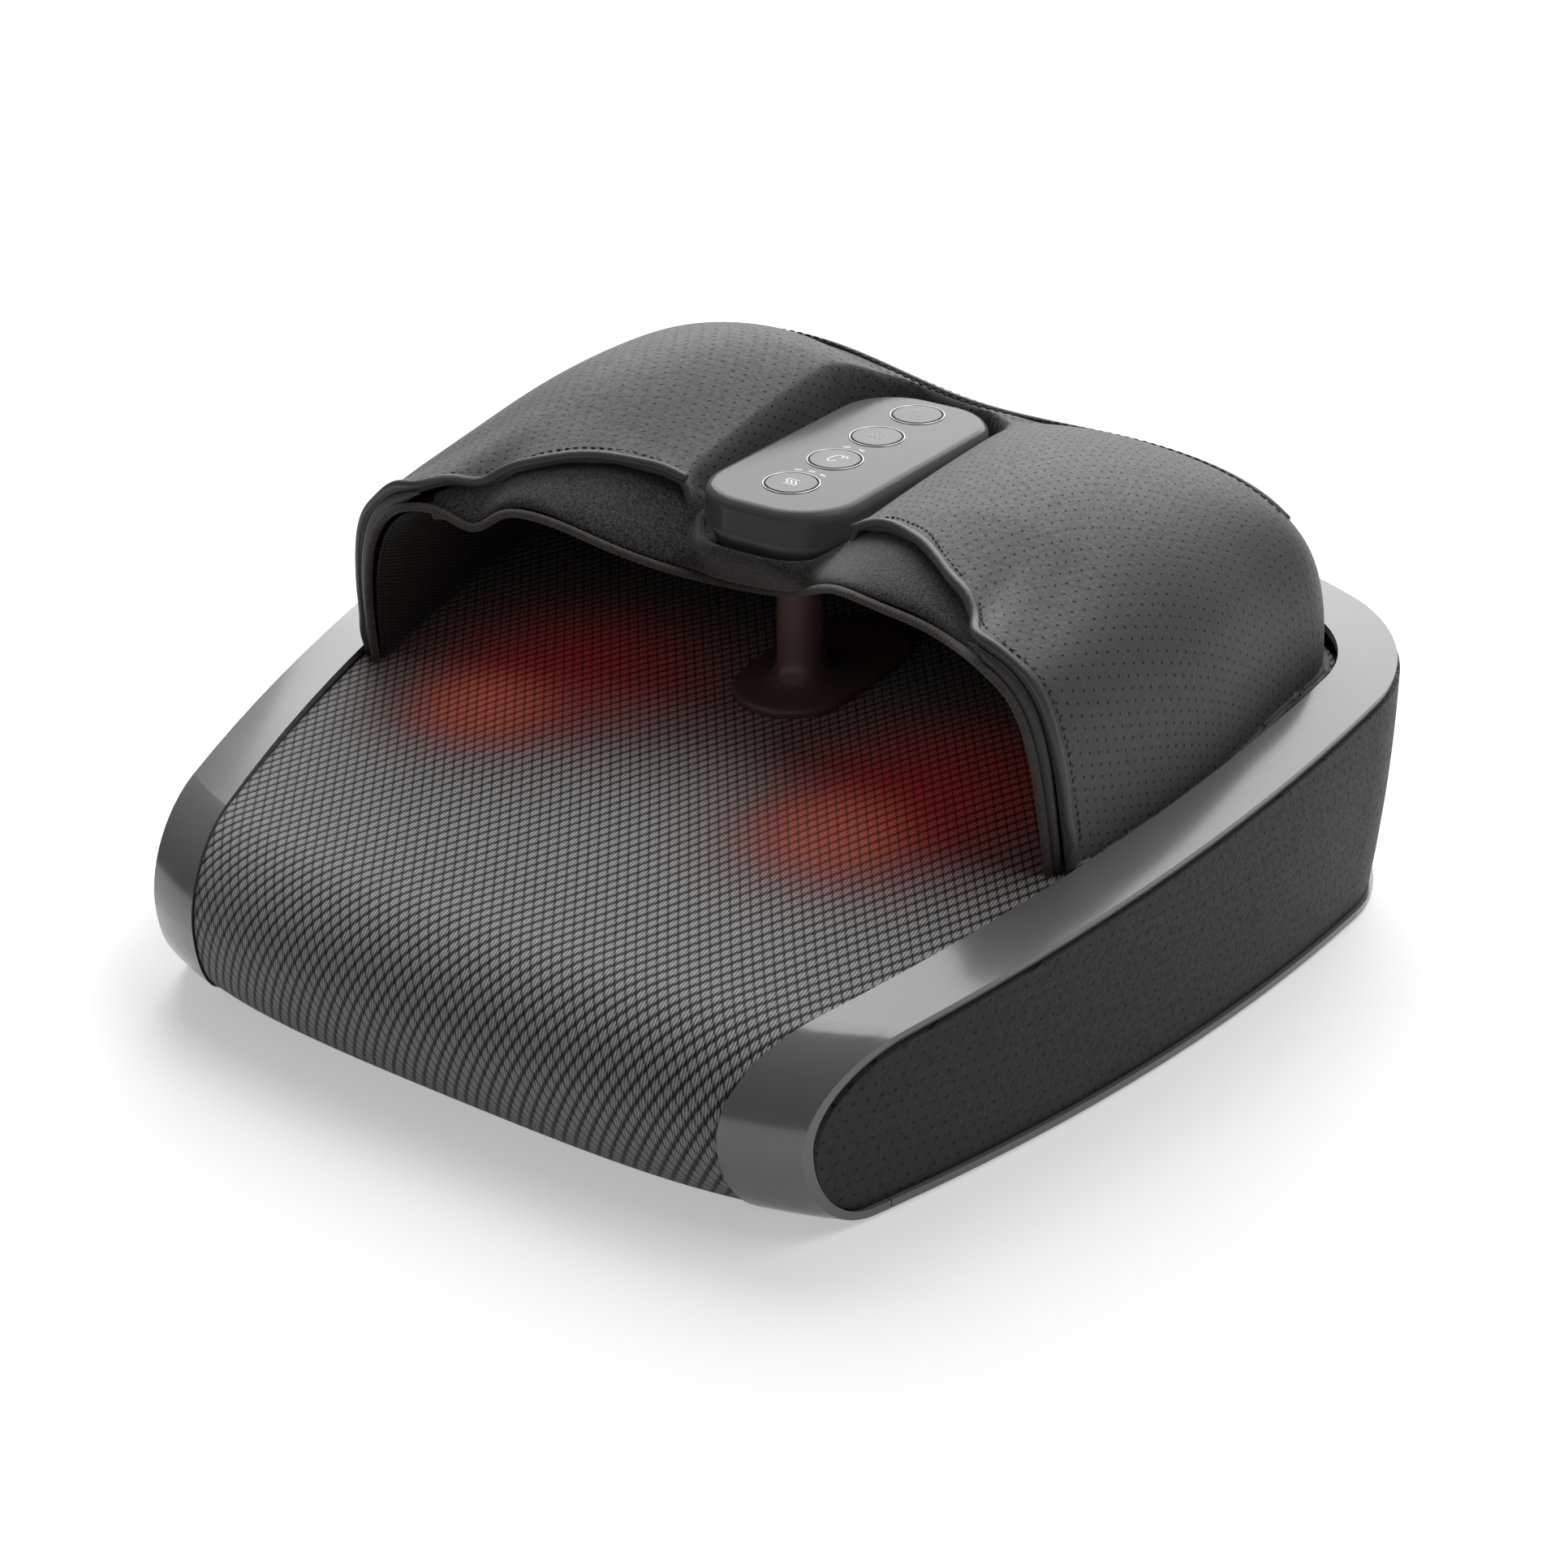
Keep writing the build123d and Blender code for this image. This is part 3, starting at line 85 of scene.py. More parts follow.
class Finish:
    """A material, or a world, and its nodes. node() adds any node; the others are short forms of it."""

    def __init__(self, name, family=bpy.data.materials, shader="Principled BSDF", **constants):
        self.material = family.new(name)
        self.material.use_nodes = True
        self.tree = self.material.node_tree
        self.shader = self.tree.nodes[shader]
        for socket, value in constants.items():
            self.shader.inputs[socket.replace("_", " ")].default_value = value

    def node(self, kind, settings=(), inputs=(), output=0):
        """Adds a node: settings first, then values or links for its inputs."""
        made = self.tree.nodes.new(kind)
        for key, value in dict(settings).items():
            setattr(made, key, value)
        for key, value in dict(inputs).items():
            if isinstance(value, Value):
                self.tree.links.new(value.socket, made.inputs[key])
            else:
                made.inputs[key].default_value = value
        return Value(self, made.outputs[output])

    def sum(self, operation, *terms):
        """One Math node over the terms."""
        return self.node("ShaderNodeMath", {"operation": operation}, enumerate(terms))

    def step(self, value, start, end):
        """0 before start, 1 after end, and a smooth rise between them."""
        return self.node("ShaderNodeMapRange", {"interpolation_type": "SMOOTHSTEP"},
                         {0: value, 1: start, 2: end})

    def noise(self, scale, detail):
        """Cloudy noise over the object's own coordinates."""
        inputs = {"Vector": self.place(), "Scale": scale, "Detail": detail}
        return self.node("ShaderNodeTexNoise", (), inputs)

    def place(self):
        """The object's own coordinates."""
        return self.node("ShaderNodeTexCoord", (), (), 3)

    def parts(self, vector):
        """The three numbers of a vector."""
        made = self.node("ShaderNodeSeparateXYZ", (), {0: vector})
        outputs = made.socket.node.outputs
        return [Value(self, outputs[part]) for part in range(3)]

    def cloth_parts(self):
        """The place on a cloth in metres, across it and along it."""
        across, along, _ = self.parts(self.node("ShaderNodeUVMap", {"uv_map": "cloth"}))
        return across, along

    def seen_by(self, *rays):
        """1 for the camera's rays and the other kinds named, and 0 for the rest."""
        kinds = self.tree.nodes.new("ShaderNodeLightPath").outputs
        seen = Value(self, kinds["Is Camera Ray"])
        for ray in rays:
            seen = self.sum("MAXIMUM", seen, Value(self, kinds["Is " + ray + " Ray"]))
        return seen

    def blend(self, factor, first, second):
        """Colour mix from first to second."""
        first, second = (part if isinstance(part, Value) else (*part, 1) for part in (first, second))
        return self.node("ShaderNodeMix", {"data_type": "RGBA"}, {0: factor, 6: first, 7: second}, 2)

    def give(self, socket, value):
        """Links a value to one socket of the shader."""
        self.tree.links.new(value.socket, self.shader.inputs[socket])

    def dye(self, factor, first, second):
        """Base colour: a mix from first to second."""
        self.give("Base Color", self.blend(factor, first, second))

    def bump(self, height, distance, strength=1.0):
        """Turns a height into relief, the given distance deep for a height of one."""
        inputs = {"Height": height, "Distance": distance, "Strength": strength}
        self.give("Normal", self.node("ShaderNodeBump", (), inputs))


def moulded(name, colour, roughness, grain=satin_grain, spread=0.12, **constants):
    """Moulded plastic or metal: a fine grain, a slow change of tone and a little wear in the gloss."""
    finish = Finish(name, **constants)
    tone = finish.noise(18, 4)
    fine = finish.noise(900, 2)
    light = tuple(min(1, part * (1 + spread)) for part in colour)
    dark = tuple(part * (1 - spread) for part in colour)
    finish.dye(tone, dark, light)
    finish.give("Roughness", finish.step(tone, 0.2, 0.9) * (0.35 * roughness) + 0.8 * roughness)
    finish.bump(fine, grain)
    return finish.material


def dress(material, *nodes):
    """Gives a material to CAD nodes."""
    for node in nodes:
        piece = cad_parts[node]
        if not piece.material_slots:
            piece.data.materials.append(material)
        for place in piece.material_slots:
            place.material = material


rail_gloss = moulded("rail_gloss", (0.20, 0.20, 0.202), 0.2, polished_grain, even_spread, Metallic=0.15,
                     Specular_IOR_Level=0.4, Coat_Weight=0.2, Coat_Roughness=0.08)
dress(rail_gloss, "trim_rail", "lower_trim")


# Side panel: charcoal leatherette stretched over a moulded panel, punched with small holes in
# staggered rows. It runs round both sides and the back inside the trim band.
pebbles_per_metre = 520
pebble_depth = 0.16 * mm
panel_pitch = 5.2 * mm
panel_hole = 0.62 * mm
panel_slant = 0.06


def punched_leather(finish, colour, spot_u, spot_v, pitch, hole):
    """Leather with staggered round holes: each cell's hole is dark and sunk, over a pebbled grain."""
    row = spot_v / pitch
    column = spot_u / pitch + finish.sum("FLOOR", row) * 0.5
    across = (finish.sum("FRACT", column) - 0.5) * pitch
    along = (finish.sum("FRACT", row) - 0.5) * pitch
    far = finish.sum("SQRT", across * across + along * along)
    solid = finish.step(far, 0.75 * hole, 1.25 * hole)
    pebble = finish.node("ShaderNodeTexVoronoi", {"feature": "SMOOTH_F1"},
                         {"Vector": finish.place(), "Scale": pebbles_per_metre, "Smoothness": 0.6})
    tone = finish.noise(9, 4)
    fine = finish.noise(1400, 3)
    light = tuple(1.22 * part for part in colour)
    dark = tuple(0.82 * part for part in colour)
    cloth = finish.blend(tone * 0.7 + fine * 0.3, dark, light)
    finish.dye(solid, (0.003, 0.003, 0.003), cloth)
    finish.give("Roughness", 0.44 + pebble * 0.2 + tone * 0.08)
    finish.bump(solid * 3.0 - pebble * 0.8 + fine * 0.3, pebble_depth)
    return finish.material


panel_finish = Finish("panel_leather", Specular_IOR_Level=0.28)
panel_place = panel_finish.parts(panel_finish.place())
panel_facing = panel_finish.parts(panel_finish.node("ShaderNodeNewGeometry", (), (), 1))
panel_side = panel_finish.sum("GREATER_THAN", panel_finish.sum("ABSOLUTE", panel_facing[0]),
                              panel_finish.sum("ABSOLUTE", panel_facing[1]))
panel_run = panel_side * panel_place[1] + (1.0 - panel_side) * panel_place[0]
panel_row = panel_place[2] + panel_run * panel_slant
dress(punched_leather(panel_finish, (0.023, 0.023, 0.024), panel_run, panel_row, panel_pitch, panel_hole),
      "side_panel")


# Footbed mesh: coarse two-tone spacer fabric, stretched between the rails and wrapped under the
# nose. The kneading heads lift it in two soft rises for each foot. The lamps' red light through it is a
# painted glow, emitted by the mesh itself, and the hood's shadow around it is painted shade that darkens the
# yarn to a deep red.
half_width = 200 * mm
side_radius = 842.7 * mm
widest_place = 125.75 * mm
corner_radius = 64 * mm
rail_back = 197.5 * mm
back_radius = 430.4 * mm
nose_place = -199 * mm
nose_height = 36.2 * mm
nose_top_reach = 38.1 * mm
nose_top_rise = 32.35 * mm
nose_bottom_reach = 22.1 * mm
nose_bottom_drop = 34.7 * mm
nose_sweep = 57.4 * mm
sweep_shares = (0.1, 0.9)
nose_run = 52 * mm
bed_end = 274.9 * mm
bed_slope = 4.2
bed_slope_gain = 3.9
rear_height = 88 * mm
rear_gain = 19 * mm
mesh_drop = 1.0 * mm
mesh_thickness = 1.8 * mm
mesh_edge = 22.6 * mm


def corner_of_outline():
    """Centre of the arc that touches both the side arc and the back arc from inside."""
    run = (-(half_width - side_radius), rail_back - back_radius - widest_place)
    span = sqrt(run[0]**2 + run[1]**2)
    side, back = side_radius - corner_radius, back_radius - corner_radius
    along = (side**2 - back**2 + span**2) / (2 * span)
    across = sqrt(side**2 - along**2)
    return ((half_width - side_radius) + (run[0] * along - run[1] * across) / span,
            widest_place + (run[1] * along + run[0] * across) / span)


corner_centre = corner_of_outline()


def arc_reach(radius, offset):
    """Reach of an arc at an offset from its centre: the root of radius squared less offset squared."""
    return np.sqrt(np.maximum(radius**2 - offset**2, 0))


def outline_reach(y, inset):
    """Half width of the plan outline at y, drawn in by inset: the side arc, then the corner arc."""
    side = half_width - side_radius + arc_reach(side_radius - inset, y - widest_place)
    corner = corner_centre[0] + arc_reach(corner_radius - inset, y - corner_centre[1])
    return np.where(y < corner_centre[1], side, np.minimum(side, corner))


def outline_back(x, inset):
    """Back edge of the plan outline at x, drawn in by inset: the back arc, then the corner arc."""
    x = np.abs(x)
    back = rail_back - back_radius + arc_reach(back_radius - inset, x)
    corner = corner_centre[1] + arc_reach(corner_radius - inset, x - corner_centre[0])
    return np.where(x < corner_centre[0], back, np.minimum(back, corner))


def bed_line(x, inset):
    """The footbed's side profile at x: the nose's front, the turn over its top, the point where the
    straight run starts, and that run's slope and bend. Slope, sweep and rear height grow with the
    square of the share of the half width, and the bend takes up what the slope leaves at the rear."""
    share = (x / half_width)**2
    front = nose_place + nose_sweep * (sweep_shares[0] * share + sweep_shares[1] * share**2)
    slope = np.tan(np.radians(bed_slope + bed_slope_gain * share))
    turn = np.arctan2(nose_top_rise - inset, (nose_top_reach - inset) * slope)
    top_y = front + nose_top_reach - (nose_top_reach - inset) * np.cos(turn)
    top_z = nose_height + (nose_top_rise - inset) * np.sin(turn)
    length = bed_end - top_y
    bend = (rear_height + rear_gain * share - inset - top_z - slope * length) / length**2
    return front, turn, top_y, top_z, slope, bend


def bed_profile(x, inset, travel):
    """Point of the footbed's side profile at x, travel metres from the lowest point of the nose.

    The first stretch is the flat underside, then a quarter ellipse up to the nose tip, an ellipse
    over the top until it has the bed's slope, and then a line that bends down a little."""
    front, turn, _, _, slope, bend = bed_line(x, inset)
    low = np.clip(travel / nose_run, 0, 1) * pi / 2
    high = np.clip((travel - nose_run) / nose_run, 0, 1) * turn
    y = np.where(travel > nose_run, front + nose_top_reach - (nose_top_reach - inset) * np.cos(high),
                 front + nose_bottom_reach - (nose_bottom_reach - inset) * np.sin(low))
    z = np.where(travel > nose_run, nose_height + (nose_top_rise - inset) * np.sin(high),
                 nose_height - (nose_bottom_drop - inset) * np.cos(low))
    under = np.minimum(travel, 0)
    run = np.maximum(travel - 2 * nose_run, 0)
    return y - under + run, z + slope * run + bend * run**2


def bed_height(x, y):
    """Height of the footbed's top line at x and y, behind the nose."""
    _, _, top_y, top_z, slope, bend = bed_line(x, 0)
    return top_z + slope * (y - top_y) + bend * (y - top_y)**2


smallest_length = 1e-12


def around(count):
    """Even turns round a circle."""
    return np.linspace(0, 2 * pi, count, endpoint=False)


def unit(vectors):
    """Vectors scaled to length one."""
    return vectors / np.maximum(np.linalg.norm(vectors, axis=-1, keepdims=True), smallest_length)


def lengths_along(points, axis):
    """Distance travelled over a grid or line of points along one axis, starting at nought."""
    steps = np.linalg.norm(np.diff(points, axis=axis), axis=-1)
    start = np.zeros_like(np.take(steps, [0], axis))
    return np.concatenate([start, np.cumsum(steps, axis)], axis)


def grid_area(points):
    """Area of a grid: the sum over its cells of the cross product of two sides."""
    down, across = np.diff(points, axis=0)[:, :-1], np.diff(points, axis=1)[:-1]
    return float(np.linalg.norm(np.cross(down, across), axis=-1).sum())


def surface(name, points, material, body="base", ring=False, caps=False, uv=None, flip=False, keep=None):
    """Mesh of a grid of points, one face between each four neighbours. ring joins the last column to
    the first, caps closes the first and last rows, and keep says which points may carry a face."""
    rows, columns = points.shape[:2]
    index = np.arange(rows * columns).reshape(rows, columns)
    if ring:
        index = np.hstack([index, index[:, :1]])
    corners = [index[:-1, :-1], index[:-1, 1:], index[1:, 1:], index[1:, :-1]]
    faces = np.stack(corners[::-1] if flip else corners, -1).reshape(-1, 4)
    if keep is not None:
        faces = faces[keep.ravel()[faces].all(-1)]
    faces = faces.tolist()
    if caps:
        ends = [index[0, :columns][::-1].tolist(), index[-1, :columns].tolist()]
        faces += [end[::-1] for end in ends] if flip else ends
    piece = finish_piece(name, points.reshape(-1, 3), faces, material, body, uv)
    if keep is not None:
        drop_loose_points(piece)
    return piece


def drop_loose_points(piece):
    """Removes the points of a mesh that no face uses."""
    form = bmesh.new()
    form.from_mesh(piece.data)
    bmesh.ops.delete(form, geom=[point for point in form.verts if not point.link_faces], context="VERTS")
    form.to_mesh(piece.data)
    form.free()


def finish_piece(name, points, faces, material, body, uv=None):
    """Object from points and faces, smooth, with an optional UV map in metres, riding on a body."""
    mesh = bpy.data.meshes.new(name)
    mesh.from_pydata(points.tolist(), [], faces)
    mesh.polygons.foreach_set("use_smooth", np.ones(len(mesh.polygons), bool))
    if uv is not None:
        corner_points = np.empty(len(mesh.loops), int)
        mesh.loops.foreach_get("vertex_index", corner_points)
        mesh.uv_layers.new(name="cloth").data.foreach_set("uv", uv.reshape(-1, 2)[corner_points].ravel())
    mesh.materials.append(material)
    mesh.update()
    piece = bpy.data.objects.new(name, mesh)
    bpy.context.scene.collection.objects.link(piece)
    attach(piece, body)
    return piece


def thicken(piece, thickness):
    """Gives a sheet its thickness on the side away from its faces."""
    wall = piece.modifiers.new("wall", "SOLIDIFY")
    wall.thickness = thickness
    wall.offset = -1


fit_passes = 6
mesh_columns = np.linspace(-1, 1, 261)
reach_guess = 170 * mm
corner_run = 20 * mm
under_run = 22 * mm
under_travel = np.linspace(-under_run, 0, 10)[:-1]
nose_travel = np.concatenate([under_travel, np.linspace(0, 2 * nose_run, 60)])[:, None]
top_share = np.linspace(0, 1, 136)[1:, None]
mesh_x = np.ones((len(nose_travel) + len(top_share), 1)) * mesh_columns * reach_guess
for _ in range(fit_passes):
    top_x = mesh_x[len(nose_travel):]
    nose_end, _z = bed_profile(top_x, mesh_drop, 2 * nose_run + 0 * top_share)
    top_travel = 2 * nose_run + top_share * (outline_back(top_x, mesh_edge) - nose_end)
    mesh_travel = np.vstack([nose_travel + 0 * mesh_columns, top_travel])
    mesh_y, mesh_z = bed_profile(mesh_x, mesh_drop, mesh_travel)
    mesh_x = mesh_columns * outline_reach(np.minimum(mesh_y, corner_centre[1] + corner_run), mesh_edge)

# Rises over each foot's heads and a dip between the feet: x, y, height and spread
mesh_rises = np.array([(70, -52, 2.6, 30), (108, -22, 1.8, 26), (72, 14, 2.2, 26), (0, -100, -1.0, 45)]) * mm
rise_start = 80 * mm
for x, y, rise, spread in mesh_rises:
    for side in ((-1, 1) if x else (1,)):
        far = (mesh_x - side * x)**2 + (mesh_y - y)**2
        hill = rise * np.exp(-far / (2 * spread**2))
        mesh_z = mesh_z + np.where(mesh_travel > rise_start, hill, 0)
mesh_points = np.stack([mesh_x, mesh_y, mesh_z], -1)
mesh_uv = np.stack([mesh_points[..., 0], lengths_along(mesh_points, 0)], -1)

mesh_finish = Finish("footbed_weave", Roughness=0.72, Specular_IOR_Level=0.3, Sheen_Weight=0.25,
                     Sheen_Roughness=0.5, Emission_Strength=1.0)
weave_u, weave_v = mesh_finish.cloth_parts()
rung_pitch = (4.39 * mm, 5.92 * mm)
wale_pitch = (-4.57 * mm, 9.71 * mm)
weave_relief = 0.9 * mm
rung = mesh_finish.sum("FRACT", weave_u / rung_pitch[0] + weave_v / rung_pitch[1])
wale = mesh_finish.sum("FRACT", weave_u / wale_pitch[0] + weave_v / wale_pitch[1])
rung_edge = mesh_finish.sum("ABSOLUTE", rung - 0.5)
wale_edge = mesh_finish.sum("ABSOLUTE", wale - 0.5)
strand = mesh_finish.sum("SINE", (rung - wale) * (4 * pi)) * 0.5 + 0.5
lines = mesh_finish.step(wale_edge, 0.20, 0.46) * 0.95 + mesh_finish.step(rung_edge, 0.31, 0.48) * 0.7
yarn = 1.0 - mesh_finish.sum("MINIMUM", lines * (1.3 - strand * 0.5), 1.0)
fuzz = mesh_finish.noise(1500, 3)
glow_place = mesh_finish.parts(mesh_finish.place())

# Painted glow of the two lamps on the mesh, and the painted shade around it, wide and then narrow: x, y and
# the spread both ways
ember_spots = np.array([(-76, -22, 62, 56), (82, -32, 58, 60)]) * mm
flame_spots = np.array([(-92, -62, 36, 32), (72, -70, 36, 34)]) * mm
natural_base = 2.718


def glow_at(x, y, spread_x, spread_y):
    """Soft oval spot: 1 in its middle, falling off with the square of the distance."""
    across = (glow_place[0] - x) / spread_x
    along = (glow_place[1] - y) / spread_y
    return mesh_finish.sum("POWER", natural_base, (across * across + along * along) * -1.0)


ember = glow_at(*ember_spots[0]) + glow_at(*ember_spots[1])
flame = glow_at(*flame_spots[0]) + glow_at(*flame_spots[1])
yarn_and_painted_shade_tone = mesh_finish.blend(strand * 0.75 + fuzz * 0.25, (0.09, 0.09, 0.091), (0.64, 0.64, 0.64))
# Painted shade and painted red glow in the base colour: over the glow spots the yarn is darkened to a deep
# red, for the hood's shadow on the mesh and the lamps' red light
painted_glow_shade_share = mesh_finish.step(ember + flame * 0.8, 0.03, 1.3) * 0.94
painted_glow_shade_tone = mesh_finish.blend(strand, (0.020, 0.002, 0.002), (0.150, 0.008, 0.006))
yarn_and_painted_shade_tone = mesh_finish.blend(painted_glow_shade_share, yarn_and_painted_shade_tone, painted_glow_shade_tone)
mesh_finish.dye(yarn, (0.003, 0.003, 0.003), yarn_and_painted_shade_tone)
# Painted red glow: the mesh emits red light over the spots, brighter on the yarn than in the gaps, in place
# of the lamps' light shining through it
glow_heat = mesh_finish.step(flame, 0.1, 1.0)
glow_tone = mesh_finish.blend(glow_heat, (0.120, 0.003, 0.003), (0.25, 0.040, 0.019))
glow_level = mesh_finish.step(ember + flame * 0.8, 0.02, 1.5) * (0.15 + yarn * (0.4 + strand * 0.65))
mesh_finish.give("Emission Color", mesh_finish.blend(glow_level, (0, 0, 0), glow_tone))
mesh_finish.bump(yarn * (0.6 + strand * 0.4), weave_relief, 0.8)

footbed = surface("footbed_mesh", mesh_points, mesh_finish.material, uv=mesh_uv)
thicken(footbed, mesh_thickness)
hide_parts("footbed_cover")
mesh_size = (2 * float(mesh_points[..., 0].max()), float(mesh_uv[..., 1].max()))
min(grid_area(mesh_points), mesh_size[0] * mesh_size[1])


# Hood: dark grey punched leatherette, sewn with two humps over the toes and a dip for the pod.
# Its hem is tucked behind the rail, a welt is sewn along its front edge and a seam over its back.
hood_edge = 22.3 * mm
hood_hem = 36.2 * mm
hem_clear = 0.2 * mm
hood_height = 186 * mm
hood_front = -62 * mm
hood_run = 240 * mm
hood_last = 176 * mm
hump_reach = 76 * mm
hump_skew = 6.5 * mm
skew_start = 10 * mm
skew_run = 90 * mm
wall_lean = 2.5 * mm
wall_share = 0.62
shoulder_inset = 13 * mm
leather_thickness = 2.4 * mm
side_rake = 15 * mm
hood_place_shares = np.array([0, 0.175, 0.43, 0.605, 0.81, 0.917, 1])
hood_places = hood_place_shares * hood_run + hood_front
# At each place, shares of the half width and of the height at the shoulders, humps and middle
hood_shares = np.array([
    (1.00, 0.770, 0.822, 0.770),
    (1.00, 0.768, 0.885, 0.810),
    (1.00, 0.772, 0.962, 0.830),
    (0.98, 0.762, 0.975, 0.850),
    (0.985, 0.725, 0.895, 0.870),
    (0.960, 0.635, 0.785, 0.790),
    (0.905, 0.560, 0.665, 0.680)])
across_shares = np.array([-1, -0.818, -0.611, -0.284, 0, 0.284, 0.611, 0.818, 1])
leather_edge_x = np.array([-130, -114, -96, -80, -60, 0, 60, 80, 96, 114, 130]) * mm
leather_edge_y = np.array([-75, -43, -28, -16.5, -4.5, 6, -4.5, -16.5, -28, -43, -75]) * mm
side_front = -53 * mm
front_ease = 5 * mm


def smooth_through(knots, values, at):
    """Natural cubic spline through values at the knots. The second slopes solve a three-band system,
    and each span is the cubic given by its end values and end second slopes."""
    gap = np.diff(knots)
    count = len(knots)
    inner = np.arange(1, count - 1)
    system = np.eye(count)
    system[inner, inner - 1] = gap[:-1]
    system[inner, inner] = 2 * (gap[:-1] + gap[1:])
    system[inner, inner + 1] = gap[1:]
    right = np.zeros_like(values, float)
    right[1:-1] = 6 * np.diff(np.diff(values, axis=0) / gap[:, None], axis=0)
    bend = np.linalg.solve(system, right)
    span = np.clip(np.searchsorted(knots, at, side="right") - 1, 0, count - 2)
    past = (at - knots[span])[..., None]
    left = (knots[span + 1] - at)[..., None]
    width = gap[span][..., None]
    return ((bend[span] * left**3 + bend[span + 1] * past**3) / (6 * width)
            + (values[span] / width - bend[span] * width / 6) * left
            + (values[span + 1] / width - bend[span + 1] * width / 6) * past)


def hood_grid(across, y, inset):
    """Points of the hood's surface drawn in by inset. across runs from hem to hem, -1 to 1, and each
    section is the smooth line through its hems, side walls, shoulders, humps and middle. Towards the
    back the left hump stands higher than the right one by twice the skew."""
    shares = smooth_through(hood_places, hood_shares, y)
    reach = shares[..., 0] * outline_reach(y, hood_edge) - inset
    shoulder, hump, middle = (shares[..., column] * hood_height - inset for column in (1, 2, 3))
    base = np.full_like(y, hood_hem)
    flat = np.full_like(y, hump_reach)
    half_x = [reach, reach - wall_lean, reach - shoulder_inset, flat]
    half_z = [base, (base + shoulder) / 2, shoulder, hump]
    control_x = np.stack([-part for part in half_x] + [0 * y] + half_x[::-1], -1)
    skew = hump_skew * np.clip((y - skew_start) / skew_run, 0, 1)
    control_z = np.stack(half_z[:3] + [hump + skew, middle, hump - skew] + half_z[2::-1], -1)
    weights = smooth_through(across_shares, np.eye(len(across_shares)), across)
    return (control_x * weights).sum(-1), (control_z * weights).sum(-1)


top_columns = np.linspace(-wall_share, wall_share, 241)


def hood_top(x, y, inset=0.0):
    """Height of the hood over points of the plan, read across each point's own section."""
    x, y = np.broadcast_arrays(np.asarray(x, float), np.asarray(y, float))
    grid_x, grid_z = hood_grid(top_columns[None], y.reshape(-1, 1) + 0 * top_columns, inset)
    place = (grid_x < x.reshape(-1, 1)).sum(-1).clip(1, len(top_columns) - 1)
    row = np.arange(len(place))
    low, high = grid_x[row, place - 1], grid_x[row, place]
    share = (x.ravel() - low) / (high - low)
    return (grid_z[row, place - 1] * (1 - share) + grid_z[row, place] * share).reshape(x.shape)


def leather_front(x, back=0.0):
    """Front edge of the hood seen from above: back at the pod, and the hood's front at the sides."""
    within = np.clip(x, leather_edge_x[0], leather_edge_x[-1])
    ahead = smooth_through(leather_edge_x, leather_edge_y[:, None], within)[..., 0] + back - side_front
    return side_front + (ahead + np.hypot(ahead, front_ease)) / 2


pod_middle = (0, 56.5 * mm)
pod_half = (32 * mm, 66 * mm)
pod_round = 25 * mm
pod_under = 139.5 * mm
seat_clear = 0.8 * mm
seat_run = 7 * mm
seat_drop = 1.5 * mm
seat_inset_share = 0.4
wall_rows = 26
bend_rows = (12, 10)
bend_passes = 14


def outside_pod(points):
    """Distance of points outside the pod's rounded outline, less than nought inside it."""
    over = np.abs(points[..., :2] - pod_middle) - np.subtract(pod_half, pod_round)
    return np.linalg.norm(np.maximum(over, 0), axis=-1) + np.minimum(over.max(-1), 0) - pod_round


def rake(across):
    """Distance the hood's front runs back down its side walls, growing with the square of the fall."""
    return side_rake * (np.clip(np.abs(across) - wall_share, 0, 1) / (1 - wall_share))**2


def hood_shell(across, rows, inset, tuck):
    """Grid of a hood skin from its front edge back over the top and down the back wall to the hem.

    The bend into the back wall is rounded by giving each row the mean of its two neighbours a few
    times, and the skin is pressed down smoothly to the pod's underside."""
    share = np.linspace(0, 1, rows)[:, None] + 0 * across
    start = np.full_like(across, hood_front)
    for _ in range(fit_passes):
        x, _z = hood_grid(across, start, inset)
        start = leather_front(x, tuck) + rake(across)
    y = start + (hood_last - start) * share
    x, z = hood_grid(across, y, inset)
    y = np.minimum(y, outline_back(x, hood_edge + inset))
    fall = np.linspace(0, 1, wall_rows)[1:, None]
    wall_x = x[-1] + 0 * fall
    wall_y = outline_back(x[-1], hood_edge + inset) + 0 * fall
    wall_z = z[-1] + (np.minimum(z[-1], bed_height(x[-1], wall_y[-1])) - z[-1]) * fall
    x, y, z = (np.vstack(pair) for pair in ((x, wall_x), (y, wall_y), (z, wall_z)))
    points = np.stack([x, y, np.maximum(z, bed_height(x, y) + hem_clear)], -1)
    first, last = rows - bend_rows[0], rows + bend_rows[1]
    for _ in range(bend_passes):
        soft = points.copy()
        soft[first:last] = (points[first - 1:last - 1] + points[first + 1:last + 1]) / 2
        points = soft
    press = 1 - np.clip((outside_pod(points) - seat_clear) / seat_run, 0, 1)
    press = press**3 * (10 - 15 * press + 6 * press**2)
    low = np.minimum(points[..., 2], pod_under - seat_drop - seat_inset_share * inset)
    points[..., 2] += (low - points[..., 2]) * press
    return points


def grid_normals(points):
    """Unit normals of a grid, from its slopes along both directions."""
    return unit(np.cross(np.gradient(points, axis=1), np.gradient(points, axis=0)))


hood_rows = 118
hood_columns = np.linspace(-1, 1, 221)
hood_pitch = 4.5 * mm
hood_hole = 0.5 * mm
hood_under_pod = 7 * mm
